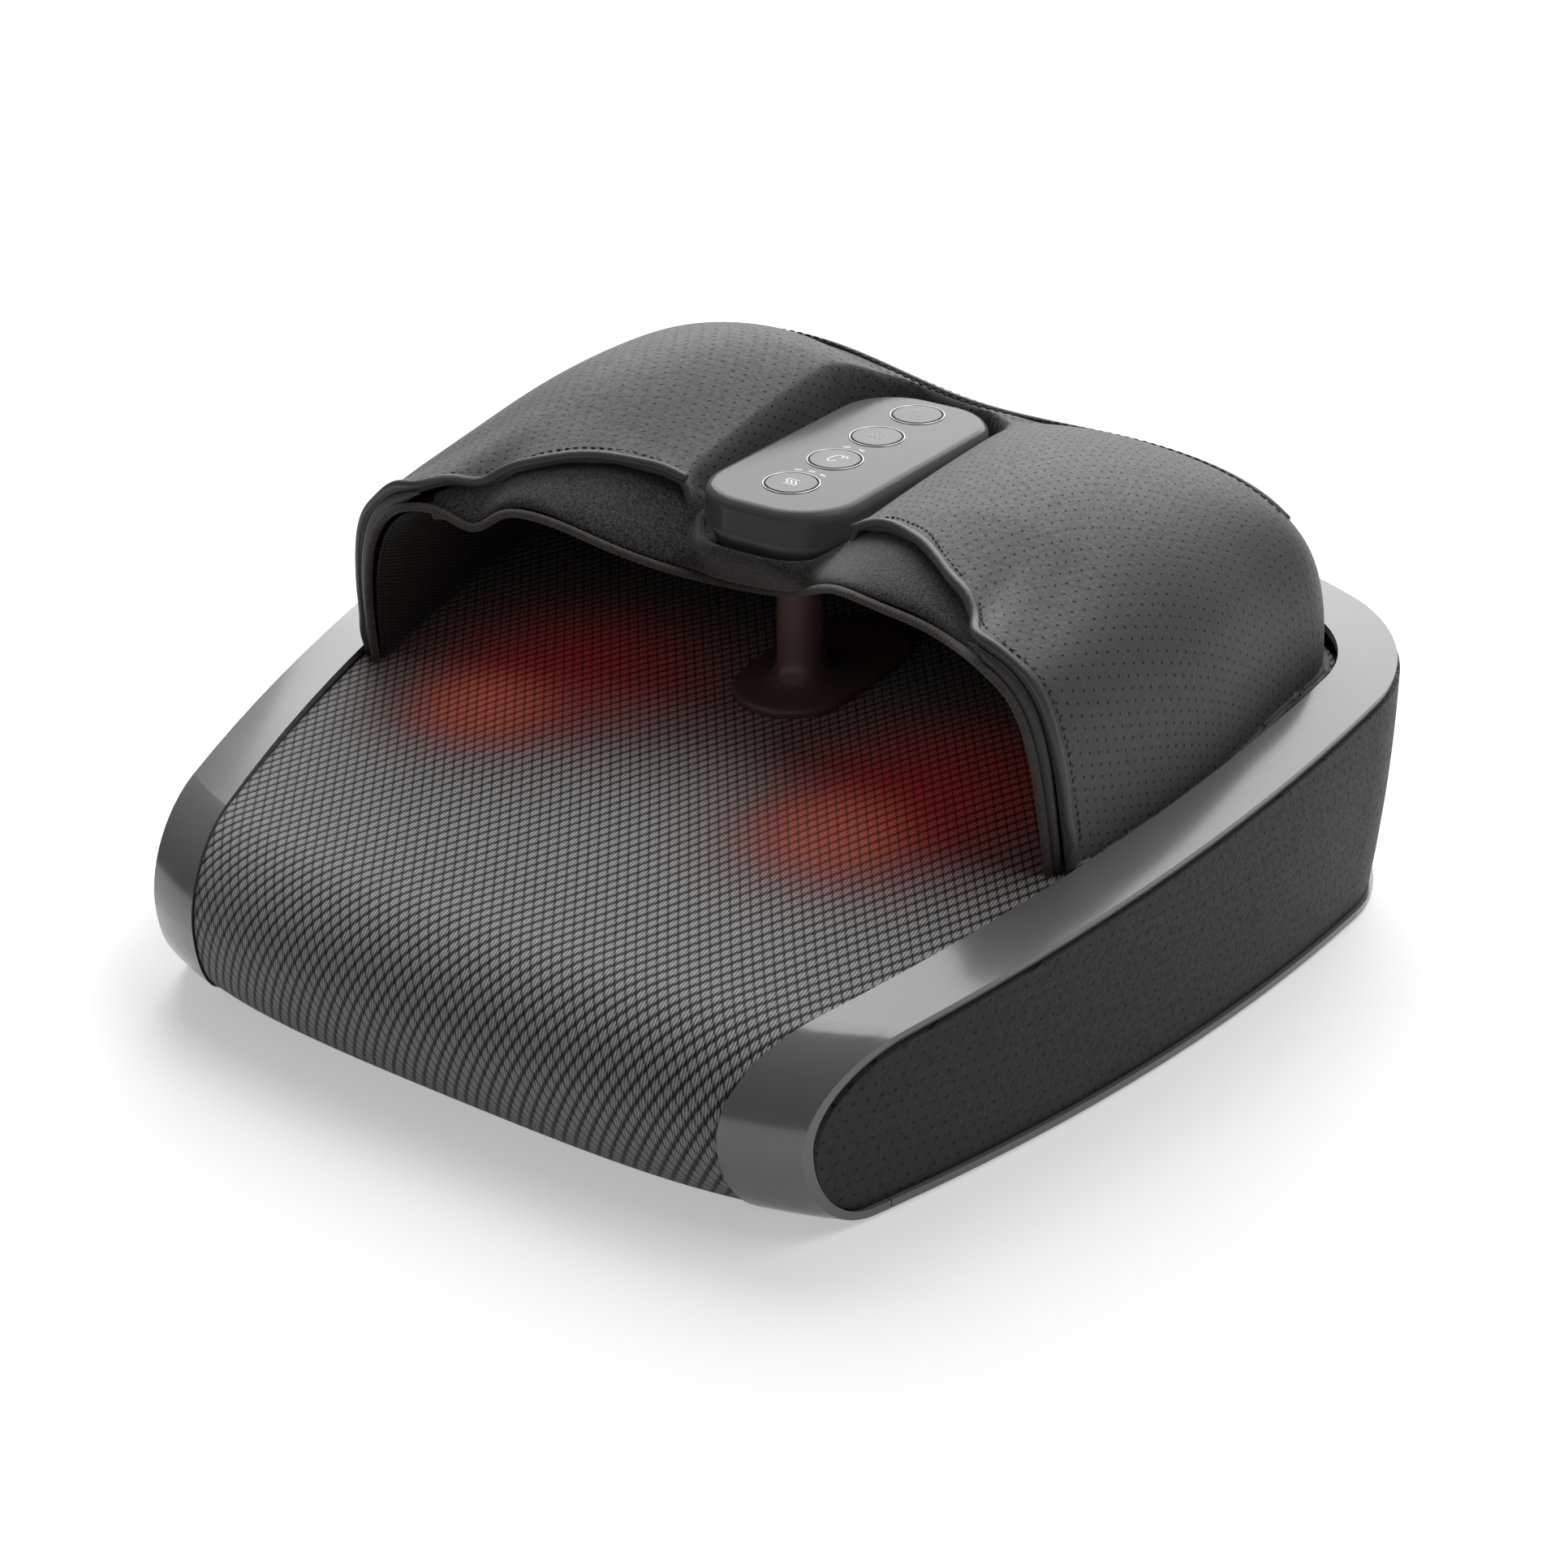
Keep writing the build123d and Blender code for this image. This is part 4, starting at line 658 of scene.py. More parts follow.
# Folds of the leather: x, y, turn in degrees, length, spread and depth, lengths in millimetres
hood_folds = ((-105, -44, 84, 24, 8, -7.0), (-130, -22, 72, 30, 6, -1.4), (112, -36, 96, 26, 6, -2.0),
              (132, -24, 104, 40, 8, -1.2), (60, 128, 8, 60, 7, -1.2), (-60, 128, -8, 60, 7, -1.2),
              (0, 118, 90, 20, 16, -1.5), (34, 60, 88, 60, 7, -1.0), (-34, 60, 92, 60, 7, -1.0))
pucker_depth = 0.35 * mm
pucker_pitch = 17 * mm
pucker_fade = 9 * mm
swell_depth = 0.7 * mm
swell_waves = (61, 47)
swell_starts = (1.3, 0.4)

hood_points = hood_shell(hood_columns, hood_rows, 0, 0)
hood_x, hood_y, _ = np.moveaxis(hood_points, -1, 0)
folds = 0 * hood_x
for x, y, angle, length, spread, depth in hood_folds:
    turn_x, turn_y = cos(radians(angle)), sin(radians(angle))
    along = ((hood_x - x * mm) * turn_x + (hood_y - y * mm) * turn_y) / (length * mm)
    beside = ((hood_x - x * mm) * turn_y - (hood_y - y * mm) * turn_x) / (spread * mm)
    folds += depth * mm * np.exp(-along**2 - beside**2)
front_distance = hood_y - leather_front(hood_x)
puckers = pucker_depth * np.sin(hood_x * 2 * pi / pucker_pitch) * np.exp(-front_distance / pucker_fade)
swell_x, swell_y = (np.sin(place * wave + start)
                    for place, wave, start in zip((hood_x, hood_y), swell_waves, swell_starts))
relief = folds + puckers + swell_depth * swell_x * swell_y
hood_points = hood_points + grid_normals(hood_points) * relief[..., None]
middle_column = len(hood_columns) // 2
hood_across = lengths_along(hood_points, 1)
hood_across -= hood_across[:, middle_column:middle_column + 1]
hood_uv = np.stack([hood_across, lengths_along(hood_points, 0)], -1)
hood_finish = Finish("hood_leather", Specular_IOR_Level=0.36, Sheen_Weight=0.08)
hood_leather = punched_leather(hood_finish, (0.090, 0.090, 0.092), *hood_finish.cloth_parts(), hood_pitch,
                               hood_hole)
hood = surface("hood_leather_cover", hood_points, hood_leather, uv=hood_uv,
               keep=outside_pod(hood_points) > -hood_under_pod)
thicken(hood, leather_thickness)
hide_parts("hood_cover")


sides = (("left", -1), ("right", 1))


def tube(name, path, radius, material, corners):
    """Closed tube: a circle of the given radius carried along the path, square to it."""
    along = unit(np.gradient(path, axis=0))
    beside = unit(np.cross(along, (0, 1, 0)))
    over = np.cross(beside, along)
    turn = around(corners)
    radius = np.broadcast_to(np.asarray(radius, float), (len(path),))[:, None, None]
    ring = beside[:, None] * np.cos(turn)[:, None] + over[:, None] * np.sin(turn)[:, None]
    return surface(name, path[:, None] + radius * ring, material, ring=True, caps=True, flip=True)


def points_at(line, travel, at):
    """Points of a line at given distances along it, straight between its own points."""
    return np.stack([np.interp(at, travel, line[:, part]) for part in range(3)], -1)


def even_line(points, spacing):
    """Smooth line through points, sampled at even steps of about the given spacing."""
    points = np.asarray(points, float)
    travel = lengths_along(points, 0)
    fine = smooth_through(travel, points, np.linspace(0, travel[-1], 40 * len(points)))
    length = lengths_along(fine, 0)
    at = np.linspace(0, length[-1], max(3, int(length[-1] / spacing)))
    return points_at(fine, length, at)


hood_thread = moulded("hood_thread", (0.030, 0.030, 0.031), 0.75, thread_grain)
welt_leather = moulded("welt_leather", (0.075, 0.075, 0.077), 0.5, spark_grain)
# One stitch from end to end: shares of its length and of its thickness
stitch_shares = np.array([(-0.5, 0.35), (-0.25, 1.0), (0.25, 1.0), (0.5, 0.35)])
stitch_sides = 6
stitch_lean = (0.31, 0.17, 0.93)
stitch_step = 1.0 * mm


def stitches(name, path, length, gap, radius):
    """Row of stitches: one small ellipsoid, turned along the path, repeated at even steps."""
    travel = lengths_along(path, 0)
    at = np.arange(length, travel[-1] - length, length + gap)
    centre = points_at(path, travel, at)
    along = unit(points_at(path, travel, at + length / 2) - centre)
    beside = unit(np.cross(along, stitch_lean))
    over = np.cross(beside, along)
    place, girth = np.repeat(stitch_shares, stitch_sides, axis=0).T
    turn = np.tile(around(stitch_sides), len(stitch_shares))
    local = np.stack([place * length, np.cos(turn) * girth * radius, np.sin(turn) * girth * radius], -1)
    points = (centre[:, None] + local[:, :1] * along[:, None] + local[:, 1:2] * beside[:, None]
              + local[:, 2:] * over[:, None])
    index = np.arange(len(local)).reshape(-1, stitch_sides)
    index = np.hstack([index, index[:, :1]])
    corners = [index[:-1, :-1], index[1:, :-1], index[1:, 1:], index[:-1, 1:]]
    shell = np.stack(corners, -1).reshape(-1, 4).tolist()
    shell += [index[0, :-1].tolist(), index[-1, -2::-1].tolist()]
    faces = [[corner + len(local) * copy for corner in face] for copy in range(len(centre)) for face in shell]
    finish_piece(name, points.reshape(-1, 3), faces, hood_thread, "base")


welt_stop = 31 * mm
welt_lift = 0.4 * mm
welt_back = 1.6 * mm
welt_radius = 1.9 * mm
welt_step = 1.5 * mm
front_stitch_back = 5.2 * mm
front_stitch_lift = 0.05 * mm
front_stitch = (1.9 * mm, 1.3 * mm, 0.34 * mm)
hood_normal = grid_normals(hood_points)
front_columns = {"left": hood_points[0, :, 0] < -welt_stop, "right": hood_points[0, :, 0] > welt_stop}
for side_name, chosen in front_columns.items():
    front_row = (hood_points[0] + hood_normal[0] * welt_lift)[chosen]
    welt_route = even_line(front_row[2:-2:4] + np.array([0, welt_back, 0]), welt_step)
    tube("hood_welt_" + side_name, welt_route, welt_radius, welt_leather, 12)


def row_behind(distance, lift, chosen):
    """Line on the hood at one distance behind its front edge, lifted off the leather."""
    row = (hood_uv[..., 1] < distance).sum(0).clip(1, len(hood_points) - 1)
    column = np.arange(len(hood_columns))
    line = hood_points[row, column] + hood_normal[row, column] * lift
    return even_line(line[chosen][2:-2:5], stitch_step)


for side_name, chosen in front_columns.items():
    stitch_route = row_behind(front_stitch_back, front_stitch_lift, chosen)
    stitches("hood_front_stitches_" + side_name, stitch_route, *front_stitch)

# Seam over the back of the hood, where its top and rear panels are joined, top-stitched on both sides
seam_reach = 150 * mm
seam_place = 133 * mm
seam_bow = 10 * mm
seam_radius = 1.3 * mm
seam_sink = 0.2 * mm
seam_stitch_shift = 4.5 * mm
seam_stitch_lift = 0.3 * mm
seam_stitch = (2.6 * mm, 1.3 * mm, 0.45 * mm)
seam_x = np.linspace(-seam_reach, seam_reach, 41)
seam_y = seam_place - seam_bow * (np.abs(seam_x) / seam_reach)**3


def seam_line(shift, lift):
    """Line over the hood beside the rear seam, lifted off the leather."""
    return np.stack([seam_x, seam_y + shift, hood_top(seam_x, seam_y + shift) + lift], -1)


seam_route = even_line(seam_line(0, -seam_sink), welt_step)
tube("hood_back_seam", seam_route, seam_radius, welt_leather, 10)
for side_name, side in (("front", -1), ("rear", 1)):
    stitch_route = even_line(seam_line(side * seam_stitch_shift, seam_stitch_lift), stitch_step)
    stitches("hood_back_stitches_" + side_name, stitch_route, *seam_stitch)


# Lining and air cells: a dark knitted inner skin hung inside the leather, and between the two a
# flat welded bladder over each foot that squeezes the toes when the pump fills it.
lining_pitch = 1.6 * mm
lining_relief = 0.4 * mm
lining_rows = 70
lining_inset = 7.6 * mm
lining_tuck = 11 * mm
lining_thickness = 1.2 * mm
lining_under_pod = 9 * mm
lining_reach_share = 0.97
lining_finish = Finish("lining_knit", Roughness=0.9, Sheen_Weight=0.2)
lining_u, lining_v = lining_finish.cloth_parts()
lining_turn = (lining_u + lining_v * 0.5) * (2 * pi / lining_pitch)
lining_rib = lining_finish.sum("SINE", lining_turn) * 0.5 + 0.5
lining_finish.dye(lining_rib, (0.010, 0.010, 0.010), (0.030, 0.029, 0.029))
lining_finish.bump(lining_rib, lining_relief)
lining_columns = np.linspace(-lining_reach_share, lining_reach_share, 121)
lining_points = hood_shell(lining_columns, lining_rows, lining_inset, lining_tuck)
lining_uv = np.stack([lengths_along(lining_points, 1), lengths_along(lining_points, 0)], -1)
lining = surface("hood_lining_knit", lining_points, lining_finish.material, uv=lining_uv,
                 keep=outside_pod(lining_points) > -lining_under_pod)
thicken(lining, lining_thickness)
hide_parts("hood_lining")
lining_size = (float(lining_uv[..., 0].max()), float(lining_uv[..., 1].max()))
min(grid_area(lining_points), lining_size[0] * lining_size[1])


def squared_cosine(turn, power):
    """Cosine with its size raised to a power below one, which fills an oval out towards a box."""
    return np.sign(np.cos(turn)) * np.abs(np.cos(turn))**power


bladder_film = moulded("bladder_film", (0.035, 0.035, 0.038), 0.35, rubber_grain)
cell_middle = (92 * mm, 67 * mm)
cell_half = (47 * mm, 50 * mm)
cell_drop = 5.3 * mm
cell_swell = 1.7 * mm
cell_tip_share = 0.04
cell_ends = np.linspace(-1, 1, 41)[:, None]
cell_turn = around(72)
cell_width = (1 - np.abs(cell_ends)**6)**(1 / 6) * (1 - cell_tip_share) + cell_tip_share
for side_name, side in sides:
    cell_x = side * cell_middle[0] + cell_half[0] * cell_width * squared_cosine(cell_turn, 0.5)
    cell_y = cell_middle[1] + cell_half[1] * cell_ends + 0 * cell_turn
    cell_z = hood_top(cell_x, cell_y) - cell_drop + cell_swell * cell_width * np.sin(cell_turn)
    cell = surface("toe_air_cell_" + side_name, np.stack([cell_x, cell_y, cell_z], -1), bladder_film,
                   ring=True, caps=True, flip=True)
    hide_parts("air_cell_" + side_name)


# Fleece collar: a soft black padded band between the leather's scalloped edge and the opening.
# A brown ribbed tape is sewn over the opening's rim and runs down both sides to the footbed.
collar_x = np.array([-118, -92, -62, -32, 0, 32, 62, 92, 118]) * mm
collar_front_y = np.array([-45, -35.5, -31, -13, 6, -13, -31, -35.5, -45]) * mm
collar_front_z = np.array([143.5, 151.0, 149.5, 136, 124, 136, 149.5, 151.0, 143.5]) * mm
collar_reach = 118.5 * mm
collar_tuck = 9 * mm
collar_under = 7.4 * mm
collar_pod_reach = 33 * mm
collar_pod_gap = 4.2 * mm
collar_pod_overlap = 6.5 * mm
pad_above = 3.4 * mm
pad_below = 1.8 * mm
pile_size = 0.06 * mm
fleece_relief = 0.5 * mm
rim_lean = 2 * mm
rim_lean_rise = 0.13
rim_lean_reach = 58 * mm
foot_fold_place = -104 * mm
foot_fold_reach = 9 * mm
foot_fold_depth = 7 * mm


def rim_drop(x):
    """Soft lean of the opening's rim: it sags left of the pod, stands higher right of it, and a
    narrow fold drops it at the left foot."""
    lean = (rim_lean + rim_lean_rise * x) * np.exp(-(x / rim_lean_reach)**4)
    return lean - foot_fold_depth * np.exp(-((x - foot_fold_place) / foot_fold_reach)**2)


collar_across = np.linspace(-collar_reach, collar_reach, 317)
collar_rim = smooth_through(collar_x, np.stack([collar_front_y, collar_front_z], -1), collar_across)
collar_rim[:, 1] += rim_drop(collar_across)
collar_back_y = leather_front(collar_across, collar_tuck)
collar_back_z = hood_top(collar_across, np.maximum(collar_back_y, hood_front)) - collar_under
before_pod = np.exp(-(collar_across / collar_pod_reach)**8)
pod_bend = np.clip(np.abs(collar_across) - (pod_half[0] - pod_round), 0, pod_round)
pod_front = pod_middle[1] - pod_half[1] + pod_round - np.sqrt(pod_round**2 - pod_bend**2)
collar_pod_z = np.minimum(collar_back_z, pod_under + collar_pod_overlap)
collar_back_y = collar_back_y * (1 - before_pod) + (pod_front - collar_pod_gap) * before_pod
collar_back_z = collar_back_z * (1 - before_pod) + collar_pod_z * before_pod
back_point = np.stack([collar_back_y, collar_back_z], -1)
run = back_point - collar_rim
run_way = unit(run)
up_way = np.stack([-run_way[:, 1], run_way[:, 0]], -1)
collar_turn = around(72)
pad_along = squared_cosine(collar_turn, 0.55)
pad_over = np.sin(collar_turn)
pile = np.random.default_rng(7).normal(0, pile_size, (len(collar_across), len(collar_turn)))
pad_height = pad_over * np.where(pad_over > 0, pad_above, pad_below) + pile
section = ((back_point + collar_rim)[:, None] / 2 + pad_along[:, None] * run[:, None] / 2
           + pad_height[..., None] * up_way[:, None])
collar_points = np.concatenate([collar_across[:, None, None] + 0 * section[..., :1], section], -1)
fleece_finish = Finish("black_fleece", Roughness=1.0, Sheen_Weight=0.45, Sheen_Roughness=0.5,
                       Specular_IOR_Level=0.1)
fleece_pile = fleece_finish.noise(1500, 5)
fleece_patch = fleece_finish.noise(900, 4)
fleece_tone = fleece_finish.step(fleece_pile * 0.6 + fleece_patch * 0.4, 0.34, 0.68)
fleece_finish.dye(fleece_tone, (0.010, 0.010, 0.010), (0.120, 0.120, 0.123))
fleece_finish.bump(fleece_pile, fleece_relief)
collar = surface("fleece_collar_pad", collar_points, fleece_finish.material, ring=True, caps=True)
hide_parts("fleece_collar")

tape_inset = 5.5 * mm
tape_ahead = 2.0 * mm
tape_ease = 3 * mm
tape_step = 0.5 * mm
tape_radius = 1.5 * mm
tape_relief = 0.3 * mm
rib_pitch = 2.2 * mm
rib_rise = 0.2 * mm
rim_above = 120 * mm
lip_inset = 1.4 * mm
lip_bulge = 1.7 * mm
lip_tip_share = 0.1
# Right half of the opening's rim from the middle out: x, y and z
rim_half = np.array([(0, 4.6, 122.6), (32, -14.6, 134.4), (62, -32.6, 148.1), (92, -37.3, 149.4),
                     (106, -42.0, 148.5)]) * mm
tape_shares = np.linspace(0.53, 0.985, 13)
side_x, side_z = hood_grid(tape_shares, np.full_like(tape_shares, side_front), tape_inset)
side_half = np.stack([side_x, side_front + rake(tape_shares) - tape_ahead, side_z], -1)
binding_half = np.vstack([rim_half, side_half])
binding_line = even_line(np.vstack([(binding_half[1:] * (-1, 1, 1))[::-1], binding_half]), tape_ease)
binding_line[:, 2] += rim_drop(binding_line[:, 0]) * (binding_line[:, 2] > rim_above)
lip_shares = np.linspace(0.46, 0.985, 80)
lip_open = np.minimum(1, np.linspace(0, 6, len(lip_shares))[:, None])
lip_grow = lip_tip_share + (1 - lip_tip_share) * np.sin(lip_open * pi / 2)
lip_front = np.full_like(lip_shares, side_front)
outer_x, outer_z = hood_grid(lip_shares, lip_front, lip_inset)
inner_x, inner_z = hood_grid(lip_shares, lip_front, tape_inset)
lip_turn = around(20)
inward = (1 - np.cos(lip_turn)) / 2 * lip_grow
lip_x = outer_x[:, None] + (inner_x - outer_x)[:, None] * inward
lip_y = side_front + rake(lip_shares)[:, None] - lip_bulge * np.sin(lip_turn) * lip_grow
lip_level = outer_z[:, None] + (inner_z - outer_z)[:, None] * inward
lip_leather = moulded("lip_leather", (0.045, 0.045, 0.046), 0.6, spark_grain)
for side_name, side in sides:
    lip_z = lip_level + rim_drop(side * lip_x) * (lip_level > rim_above)
    lip = surface("opening_lip_" + side_name, np.stack([side * lip_x, lip_y, lip_z], -1), lip_leather,
                  ring=True, caps=True, flip=side > 0)
binding_route = even_line(binding_line, tape_step)
rib_wave = np.abs(np.sin(np.arange(len(binding_route)) * pi * tape_step / rib_pitch))
tape_finish = Finish("brown_tape", Roughness=0.8, Sheen_Weight=0.3)
tape_finish.dye(tape_finish.noise(420, 4), (0.030, 0.024, 0.022), (0.105, 0.088, 0.080))
tape_finish.bump(tape_finish.noise(1600, 2), tape_relief)
binding = tube("opening_tape", binding_route, tape_radius + rib_rise * rib_wave, tape_finish.material, 14)
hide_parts("front_binding")


# Control pod: glossy gunmetal shells on the post, with four flush round buttons, each in a dark
# ring gap, and five small light dashes beside the first two.
dress(moulded("pod_gloss", (0.115, 0.115, 0.117), 0.2, polished_grain, even_spread, Specular_IOR_Level=0.1,
              Coat_Weight=0.03, Coat_Roughness=0.1), "pod_top")
dress(moulded("pod_shell_gloss", (0.24, 0.24, 0.242), 0.2, polished_grain, even_spread,
              Specular_IOR_Level=0.4, Coat_Weight=0.1, Coat_Roughness=0.1), "pod_base")
button_names = ("air", "massage", "heat", "power")
dress(moulded("button_gloss", (0.095, 0.095, 0.097), 0.3, polished_grain, even_spread,
              Specular_IOR_Level=0.25), *("button_" + name for name in button_names))
dress(moulded("window_milk", (0.30, 0.30, 0.30), 0.3), "light_windows")
button_top = 163.4 * mm
button_first = 17.3 * mm
button_step = 28.8 * mm
button_reach = 9.8 * mm
button_row = {name: button_first + button_step * count for count, name in enumerate(button_names)}
ring_height = 163 * mm
ring_shift = 0.75 * mm
ring_radius = 0.34 * mm
ring_metal = moulded("ring_metal", (0.42, 0.42, 0.43), 0.2, polished_grain, even_spread, Metallic=0.9)
ring_round = around(96)[:, None]
ring_section = around(10)
ring_far = button_reach + ring_shift + ring_radius * np.cos(ring_section)
ring_level = ring_height + ring_radius * np.sin(ring_section) + 0 * ring_round
for name, y in button_row.items():
    ring_points = np.stack([ring_far * np.cos(ring_round), y + ring_far * np.sin(ring_round), ring_level], -1)
    ring_points = np.concatenate([ring_points, ring_points[:1]])
    surface("button_ring_" + name, ring_points, ring_metal, ring=True)
bright_ink = moulded("bright_ink", (0.92, 0.92, 0.92), 0.5)
faint_ink = moulded("faint_ink", (0.42, 0.42, 0.43), 0.4)
ink_over = 0.06 * mm
ink_under = 0.04 * mm
bow = np.linspace(0, 1, 24)


def mark(name, button, x, y, width, material):
    """Printed mark on a button: a thin closed band of even width carried along a flat path. The path
    and the width are given in millimetres."""
    path = np.stack([x, y], -1) * mm
    along = unit(np.gradient(path, axis=0))
    beside = np.stack([-along[:, 1], along[:, 0]], -1) * width * mm / 2
    flat = np.stack([path + beside, path - beside, path - beside, path + beside], 1)
    flat[..., 1] += button_row[button]
    height = button_top + np.array([ink_over, ink_over, -ink_under, -ink_under])
    points = np.concatenate([flat, np.broadcast_to(height[:, None], (len(path), 4, 1))], -1)
    surface(name, points, material, "key_" + button, ring=True, caps=True)


def wavy_marks(button, places, swing, half, width, material):
    """Row of upright marks, each a sine of the given swing over its height."""
    for count, place in enumerate(places):
        mark("mark_" + button + "_" + str(count), button, place + swing * np.sin(bow * 2 * pi),
             (2 * bow - 1) * half, width, material)


bright_width = 0.8
toe_width = 0.7
faint_width = 0.45
power_width = 0.35
sole_half = (1.9, 3.7)
sole_lean = 0.6
sole_turn = bow * 2 * pi * 0.86 + 0.4
toe_middle = (3.1, 1.8)
toe_half = (0.8, 1.8)
power_radius = 2.6
power_gap = 0.6
power_turn = pi / 2 + power_gap + bow * 2 * (pi - power_gap)
hook_places, hook_swing, hook_half = (-1.9, 0.0, 1.9), 0.9, 3
wave_places, wave_swing, wave_half = (-2.2, 0.0, 2.2), 0.5, 2
wavy_marks("air", hook_places, hook_swing, hook_half, bright_width, bright_ink)
mark("mark_massage_sole", "massage", sole_half[0] * np.cos(sole_turn) + sole_lean * np.sin(sole_turn),
     sole_half[1] * np.sin(sole_turn), bright_width, bright_ink)
mark("mark_massage_toe", "massage", toe_middle[0] + toe_half[0] * np.cos(bow * 4),
     toe_middle[1] + toe_half[1] * np.sin(bow * 4), toe_width, bright_ink)
wavy_marks("heat", wave_places, wave_swing, wave_half, faint_width, faint_ink)
mark("mark_power_ring", "power", power_radius * np.cos(power_turn), power_radius * np.sin(power_turn),
     power_width, faint_ink)
mark("mark_power_bar", "power", 0 * bow, power_gap + power_radius * bow, power_width, faint_ink)


# Post and its oval foot: one dark brown-black moulding that stands on the deck and carries the
# pod. The foot's edge is rounded over and a fillet runs up from it into the round post.
post_dark = moulded("post_dark", (0.190, 0.125, 0.118), 0.34, smooth_grain, Coat_Weight=0.2,
                    Coat_Roughness=0.25)
post_place = 23 * mm
post_radius = 9 * mm
foot_half_width = 24 * mm
foot_half_run = 20 * mm
foot_middle = 39.3 * mm
foot_top = 2.5 * mm
# Rings of the foot: share of the way out from the post, and height as a share of the foot's top
foot_shares = ((1.0, -0.6), (1.0, 0.6), (0.985, 0.85), (0.955, 1.0), (0.90, 1.05), (0.6, 1.1))
# Rings of the fillet: share of the way out, and rise above the foot in millimetres
fillet_shares = ((0.34, 0.4), (0.18, 1.6), (0.08, 3.6), (0.02, 7.0), (0.0, 12.0))
foot_turn = around(96)


def foot_ring(share, lift):
    """Ring between the post's circle and the oval foot's edge, at a height above the footbed."""
    sine = np.sin(foot_turn)
    oval_y = foot_middle + foot_half_width * sine + foot_half_run * np.tanh(6 * sine)
    x = np.cos(foot_turn) * (foot_half_width * share + post_radius * (1 - share))
    y = oval_y * share + (post_place + post_radius * sine) * (1 - share)
    return np.stack([x, y, bed_height(x, y) + lift], -1)


post_rings = [foot_ring(share, foot_top * lift) for share, lift in foot_shares]
post_rings += [foot_ring(share, foot_top * foot_shares[-1][1] + rise * mm) for share, rise in fillet_shares]
post_head = foot_ring(0.0, 0)
post_head[:, 2] = pod_under
post_rings += [post_rings[-1] * (1 - share) + post_head * share for share in (0.25, 0.5, 0.75, 1.0)]
post = surface("post_and_foot", np.stack(post_rings), post_dark, ring=True, caps=True)
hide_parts("support_post")


# Tray, deck, screws and feet: black moulded plastic with a fine spark grain, zinc-plated screws
# in its posts, and four rubber pads that it stands on.
dress(moulded("tray_black", (0.018, 0.018, 0.019), 0.6, spark_grain), "base_tray", "power_inlet")
dress(moulded("deck_black", (0.024, 0.024, 0.025), 0.55, spark_grain), "deck", "gear_cover")
dress(moulded("pad_rubber", (0.014, 0.014, 0.014), 0.85, rubber_grain), "rubber_feet")
zinc = moulded("zinc_steel", (0.52, 0.53, 0.54), 0.34, drawn_grain, 0.08, Metallic=1.0)
dress(zinc, "base_screws", "pod_screws", "plate_screws", "gear_plate", "standoffs", "motor_bracket")


# Massage drive: ground steel worm and pins, natural acetal gears, warm red kneading heads, and
# a drawn steel motor can. The red lamps stand between the heads.
ground_steel = moulded("ground_steel", (0.60, 0.61, 0.62), 0.22, ground_grain, 0.06, Metallic=1.0)
motor_can = moulded("motor_can", (0.42, 0.43, 0.44), 0.3, drawn_grain, 0.06, Metallic=1.0)
acetal = moulded("acetal", (0.78, 0.77, 0.72), 0.42, cut_grain)
head_red = moulded("head_red", (0.50, 0.13, 0.07), 0.4, plain_grain)
lamp_red = moulded("lamp_red", (0.42, 0.020, 0.012), 0.12, glass_grain, Emission_Color=(1, 0.05, 0.02, 1),
                   Emission_Strength=0.4)
head_places = [side + "_" + head for side in ("left", "right") for head in ("back", "outer", "front")]
dress(ground_steel, "drive_worm", "gear_pins")
dress(motor_can, "drive_motor")
dress(acetal, "worm_bearing", "worm_wheel_left", "worm_wheel_right")
dress(acetal, *("head_gear_" + place for place in head_places))
dress(head_red, *("massage_head_" + place for place in head_places))
dress(lamp_red, "heat_lamp_left", "heat_lamp_right")


# Boards, switches and pump: green solder-masked boards with a woven glass core, and dark moulded
# switch bodies and pump housing.
dress(moulded("board_green", (0.012, 0.070, 0.030), 0.35, plain_grain), "control_board", "key_board")
dress(moulded("switch_black", (0.020, 0.020, 0.021), 0.45, plain_grain), "key_switches", "air_pump")


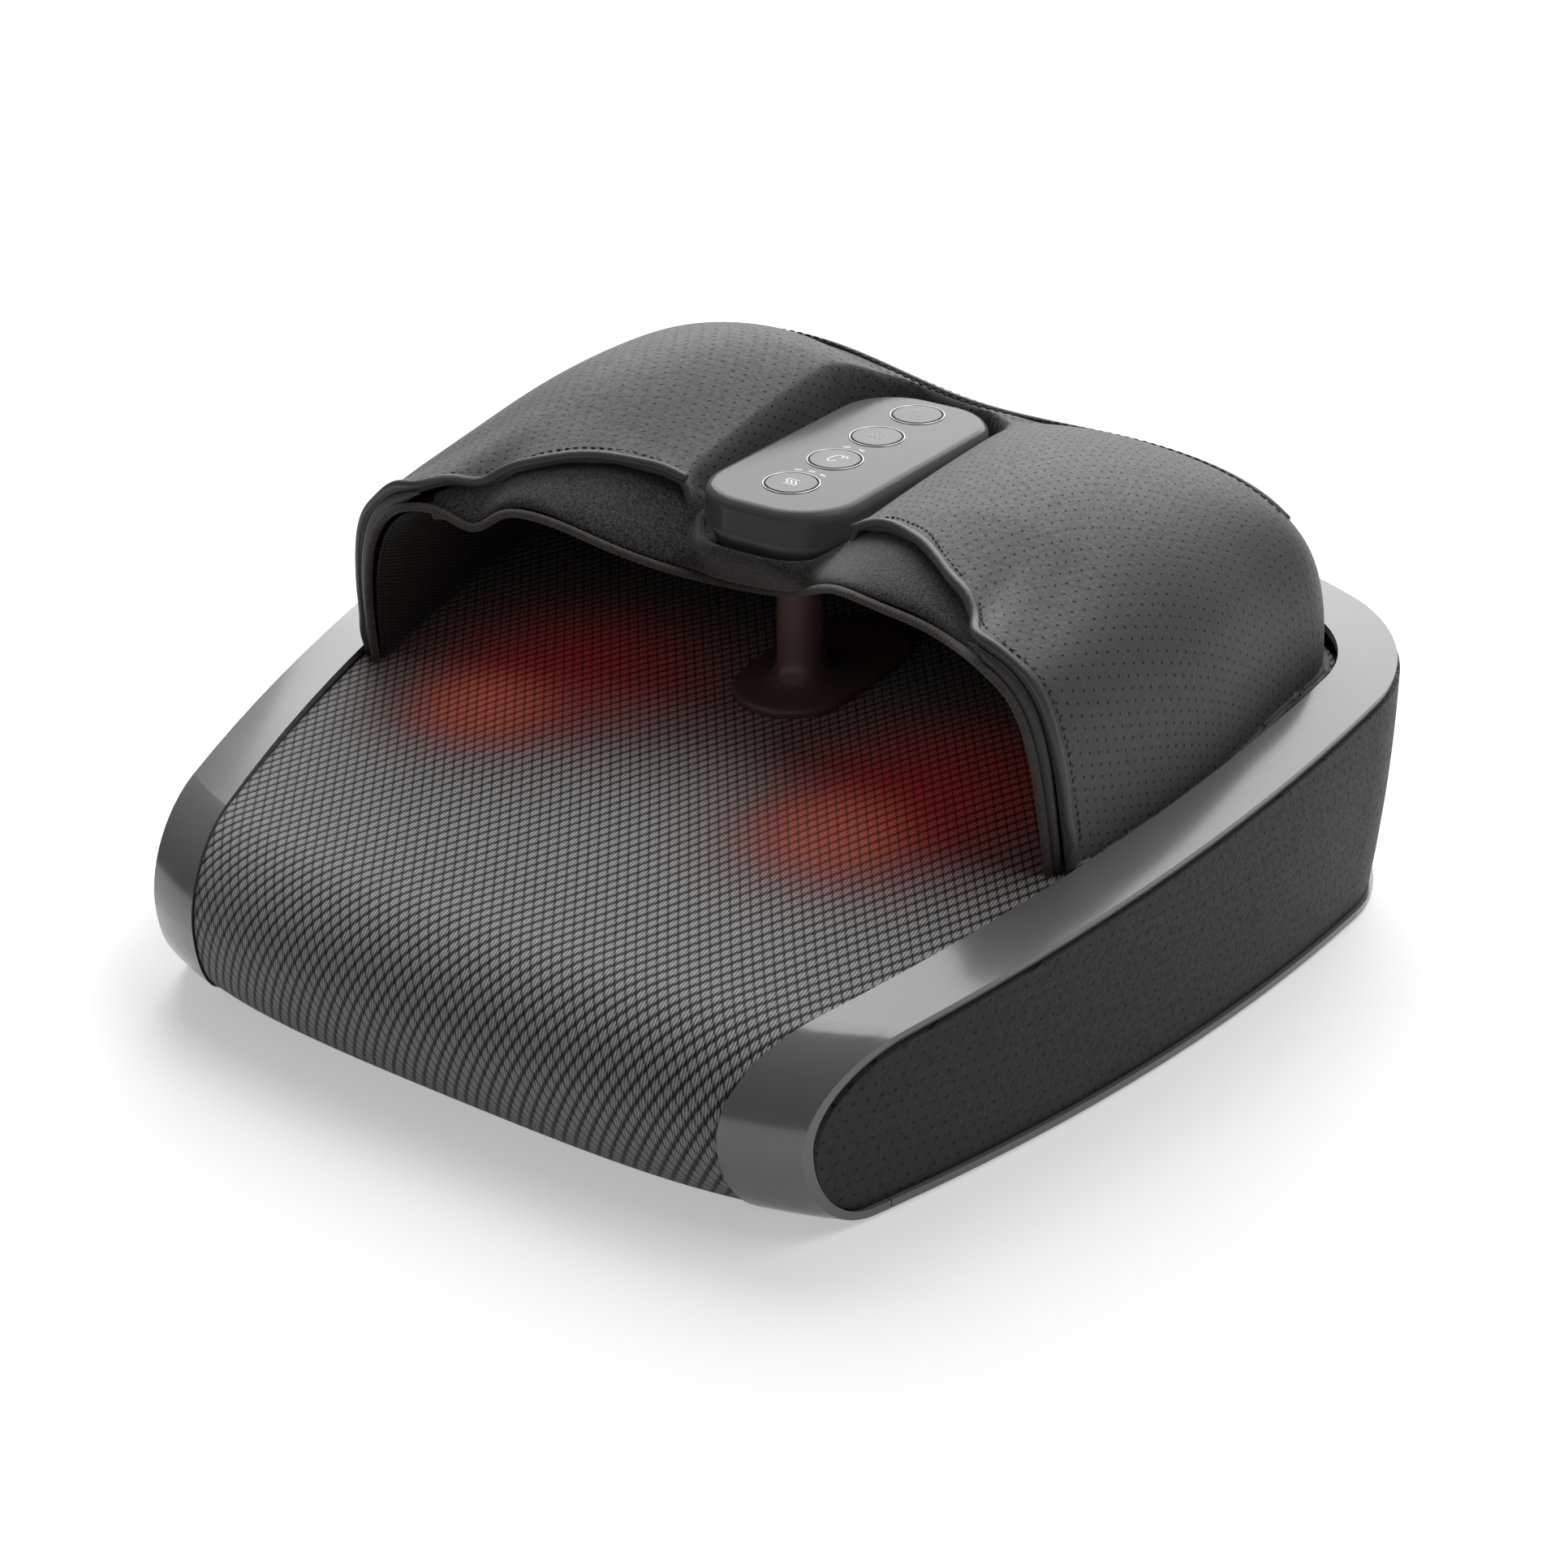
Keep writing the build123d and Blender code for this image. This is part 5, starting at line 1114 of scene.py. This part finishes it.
# Stage: a plain white floor, one broad lamp above and a soft fill from the right, and a camera at
# the photograph's angle. The floor and the surroundings look brighter than the light they give.
floor_reach = 6.0
floor_corners = np.array([(-1, -1, 0), (1, -1, 0), (1, 1, 0), (-1, 1, 0)]) * floor_reach
floor_finish = Finish("white_floor", Base_Color=(0.80, 0.80, 0.80, 1), Roughness=0.9,
                      Specular_IOR_Level=0.0, Emission_Strength=0.43)
floor_seen = floor_finish.seen_by("Glossy", "Transmission")
floor_finish.give("Emission Color", floor_finish.blend(floor_seen, (0, 0, 0), (1, 1, 1)))
floor_mesh = bpy.data.meshes.new("floor")
floor_mesh.from_pydata(floor_corners.tolist(), [], [(0, 1, 2, 3)])
floor_mesh.materials.append(floor_finish.material)
floor = bpy.data.objects.new("floor", floor_mesh)
bpy.context.scene.collection.objects.link(floor)

studio = Finish("studio", bpy.data.worlds, "Background", Color=(1, 1, 1, 1))
studio_levels = {"Value": studio.seen_by("Transmission"), "To Min": 0.115}
studio.give("Strength", studio.node("ShaderNodeMapRange", (), studio_levels))
bpy.context.scene.world = studio.material


def aim(thing, place, target):
    """Puts a lamp or camera in its place, looking at a point with its own top upwards."""
    thing.location = place
    thing.rotation_euler = (Vector(target) - Vector(place)).to_track_quat("-Z", "Y").to_euler()
    bpy.context.scene.collection.objects.link(thing)


# Square lamps: place, the point each looks at and size in metres, and power in watts
lamps = {"broad_lamp": ((-0.8, 1.6, 1.6), (0, 0, 0.05), 2.6, 78),
         "side_fill": ((0.9, 0.4, 1.9), (0, 0, 0.08), 1.2, 11)}
for name, (place, target, size, power) in lamps.items():
    light = bpy.data.lights.new(name, "AREA")
    light.size = size
    light.energy = power
    aim(bpy.data.objects.new(name, light), place, target)

camera_place = Vector((548.43, -779.25, 543.27)) * mm
camera_target = Vector((0, 32.55, 0)) * mm
camera = bpy.data.objects.new("camera", bpy.data.cameras.new("camera"))
aim(camera, camera_place, camera_target)
camera.data.lens = 64.67
camera.data.sensor_width = 36
camera.data.shift_x = -0.0196
camera.data.shift_y = 0.0460
bpy.context.scene.camera = camera
bpy.context.scene.view_settings.view_transform = "Standard"
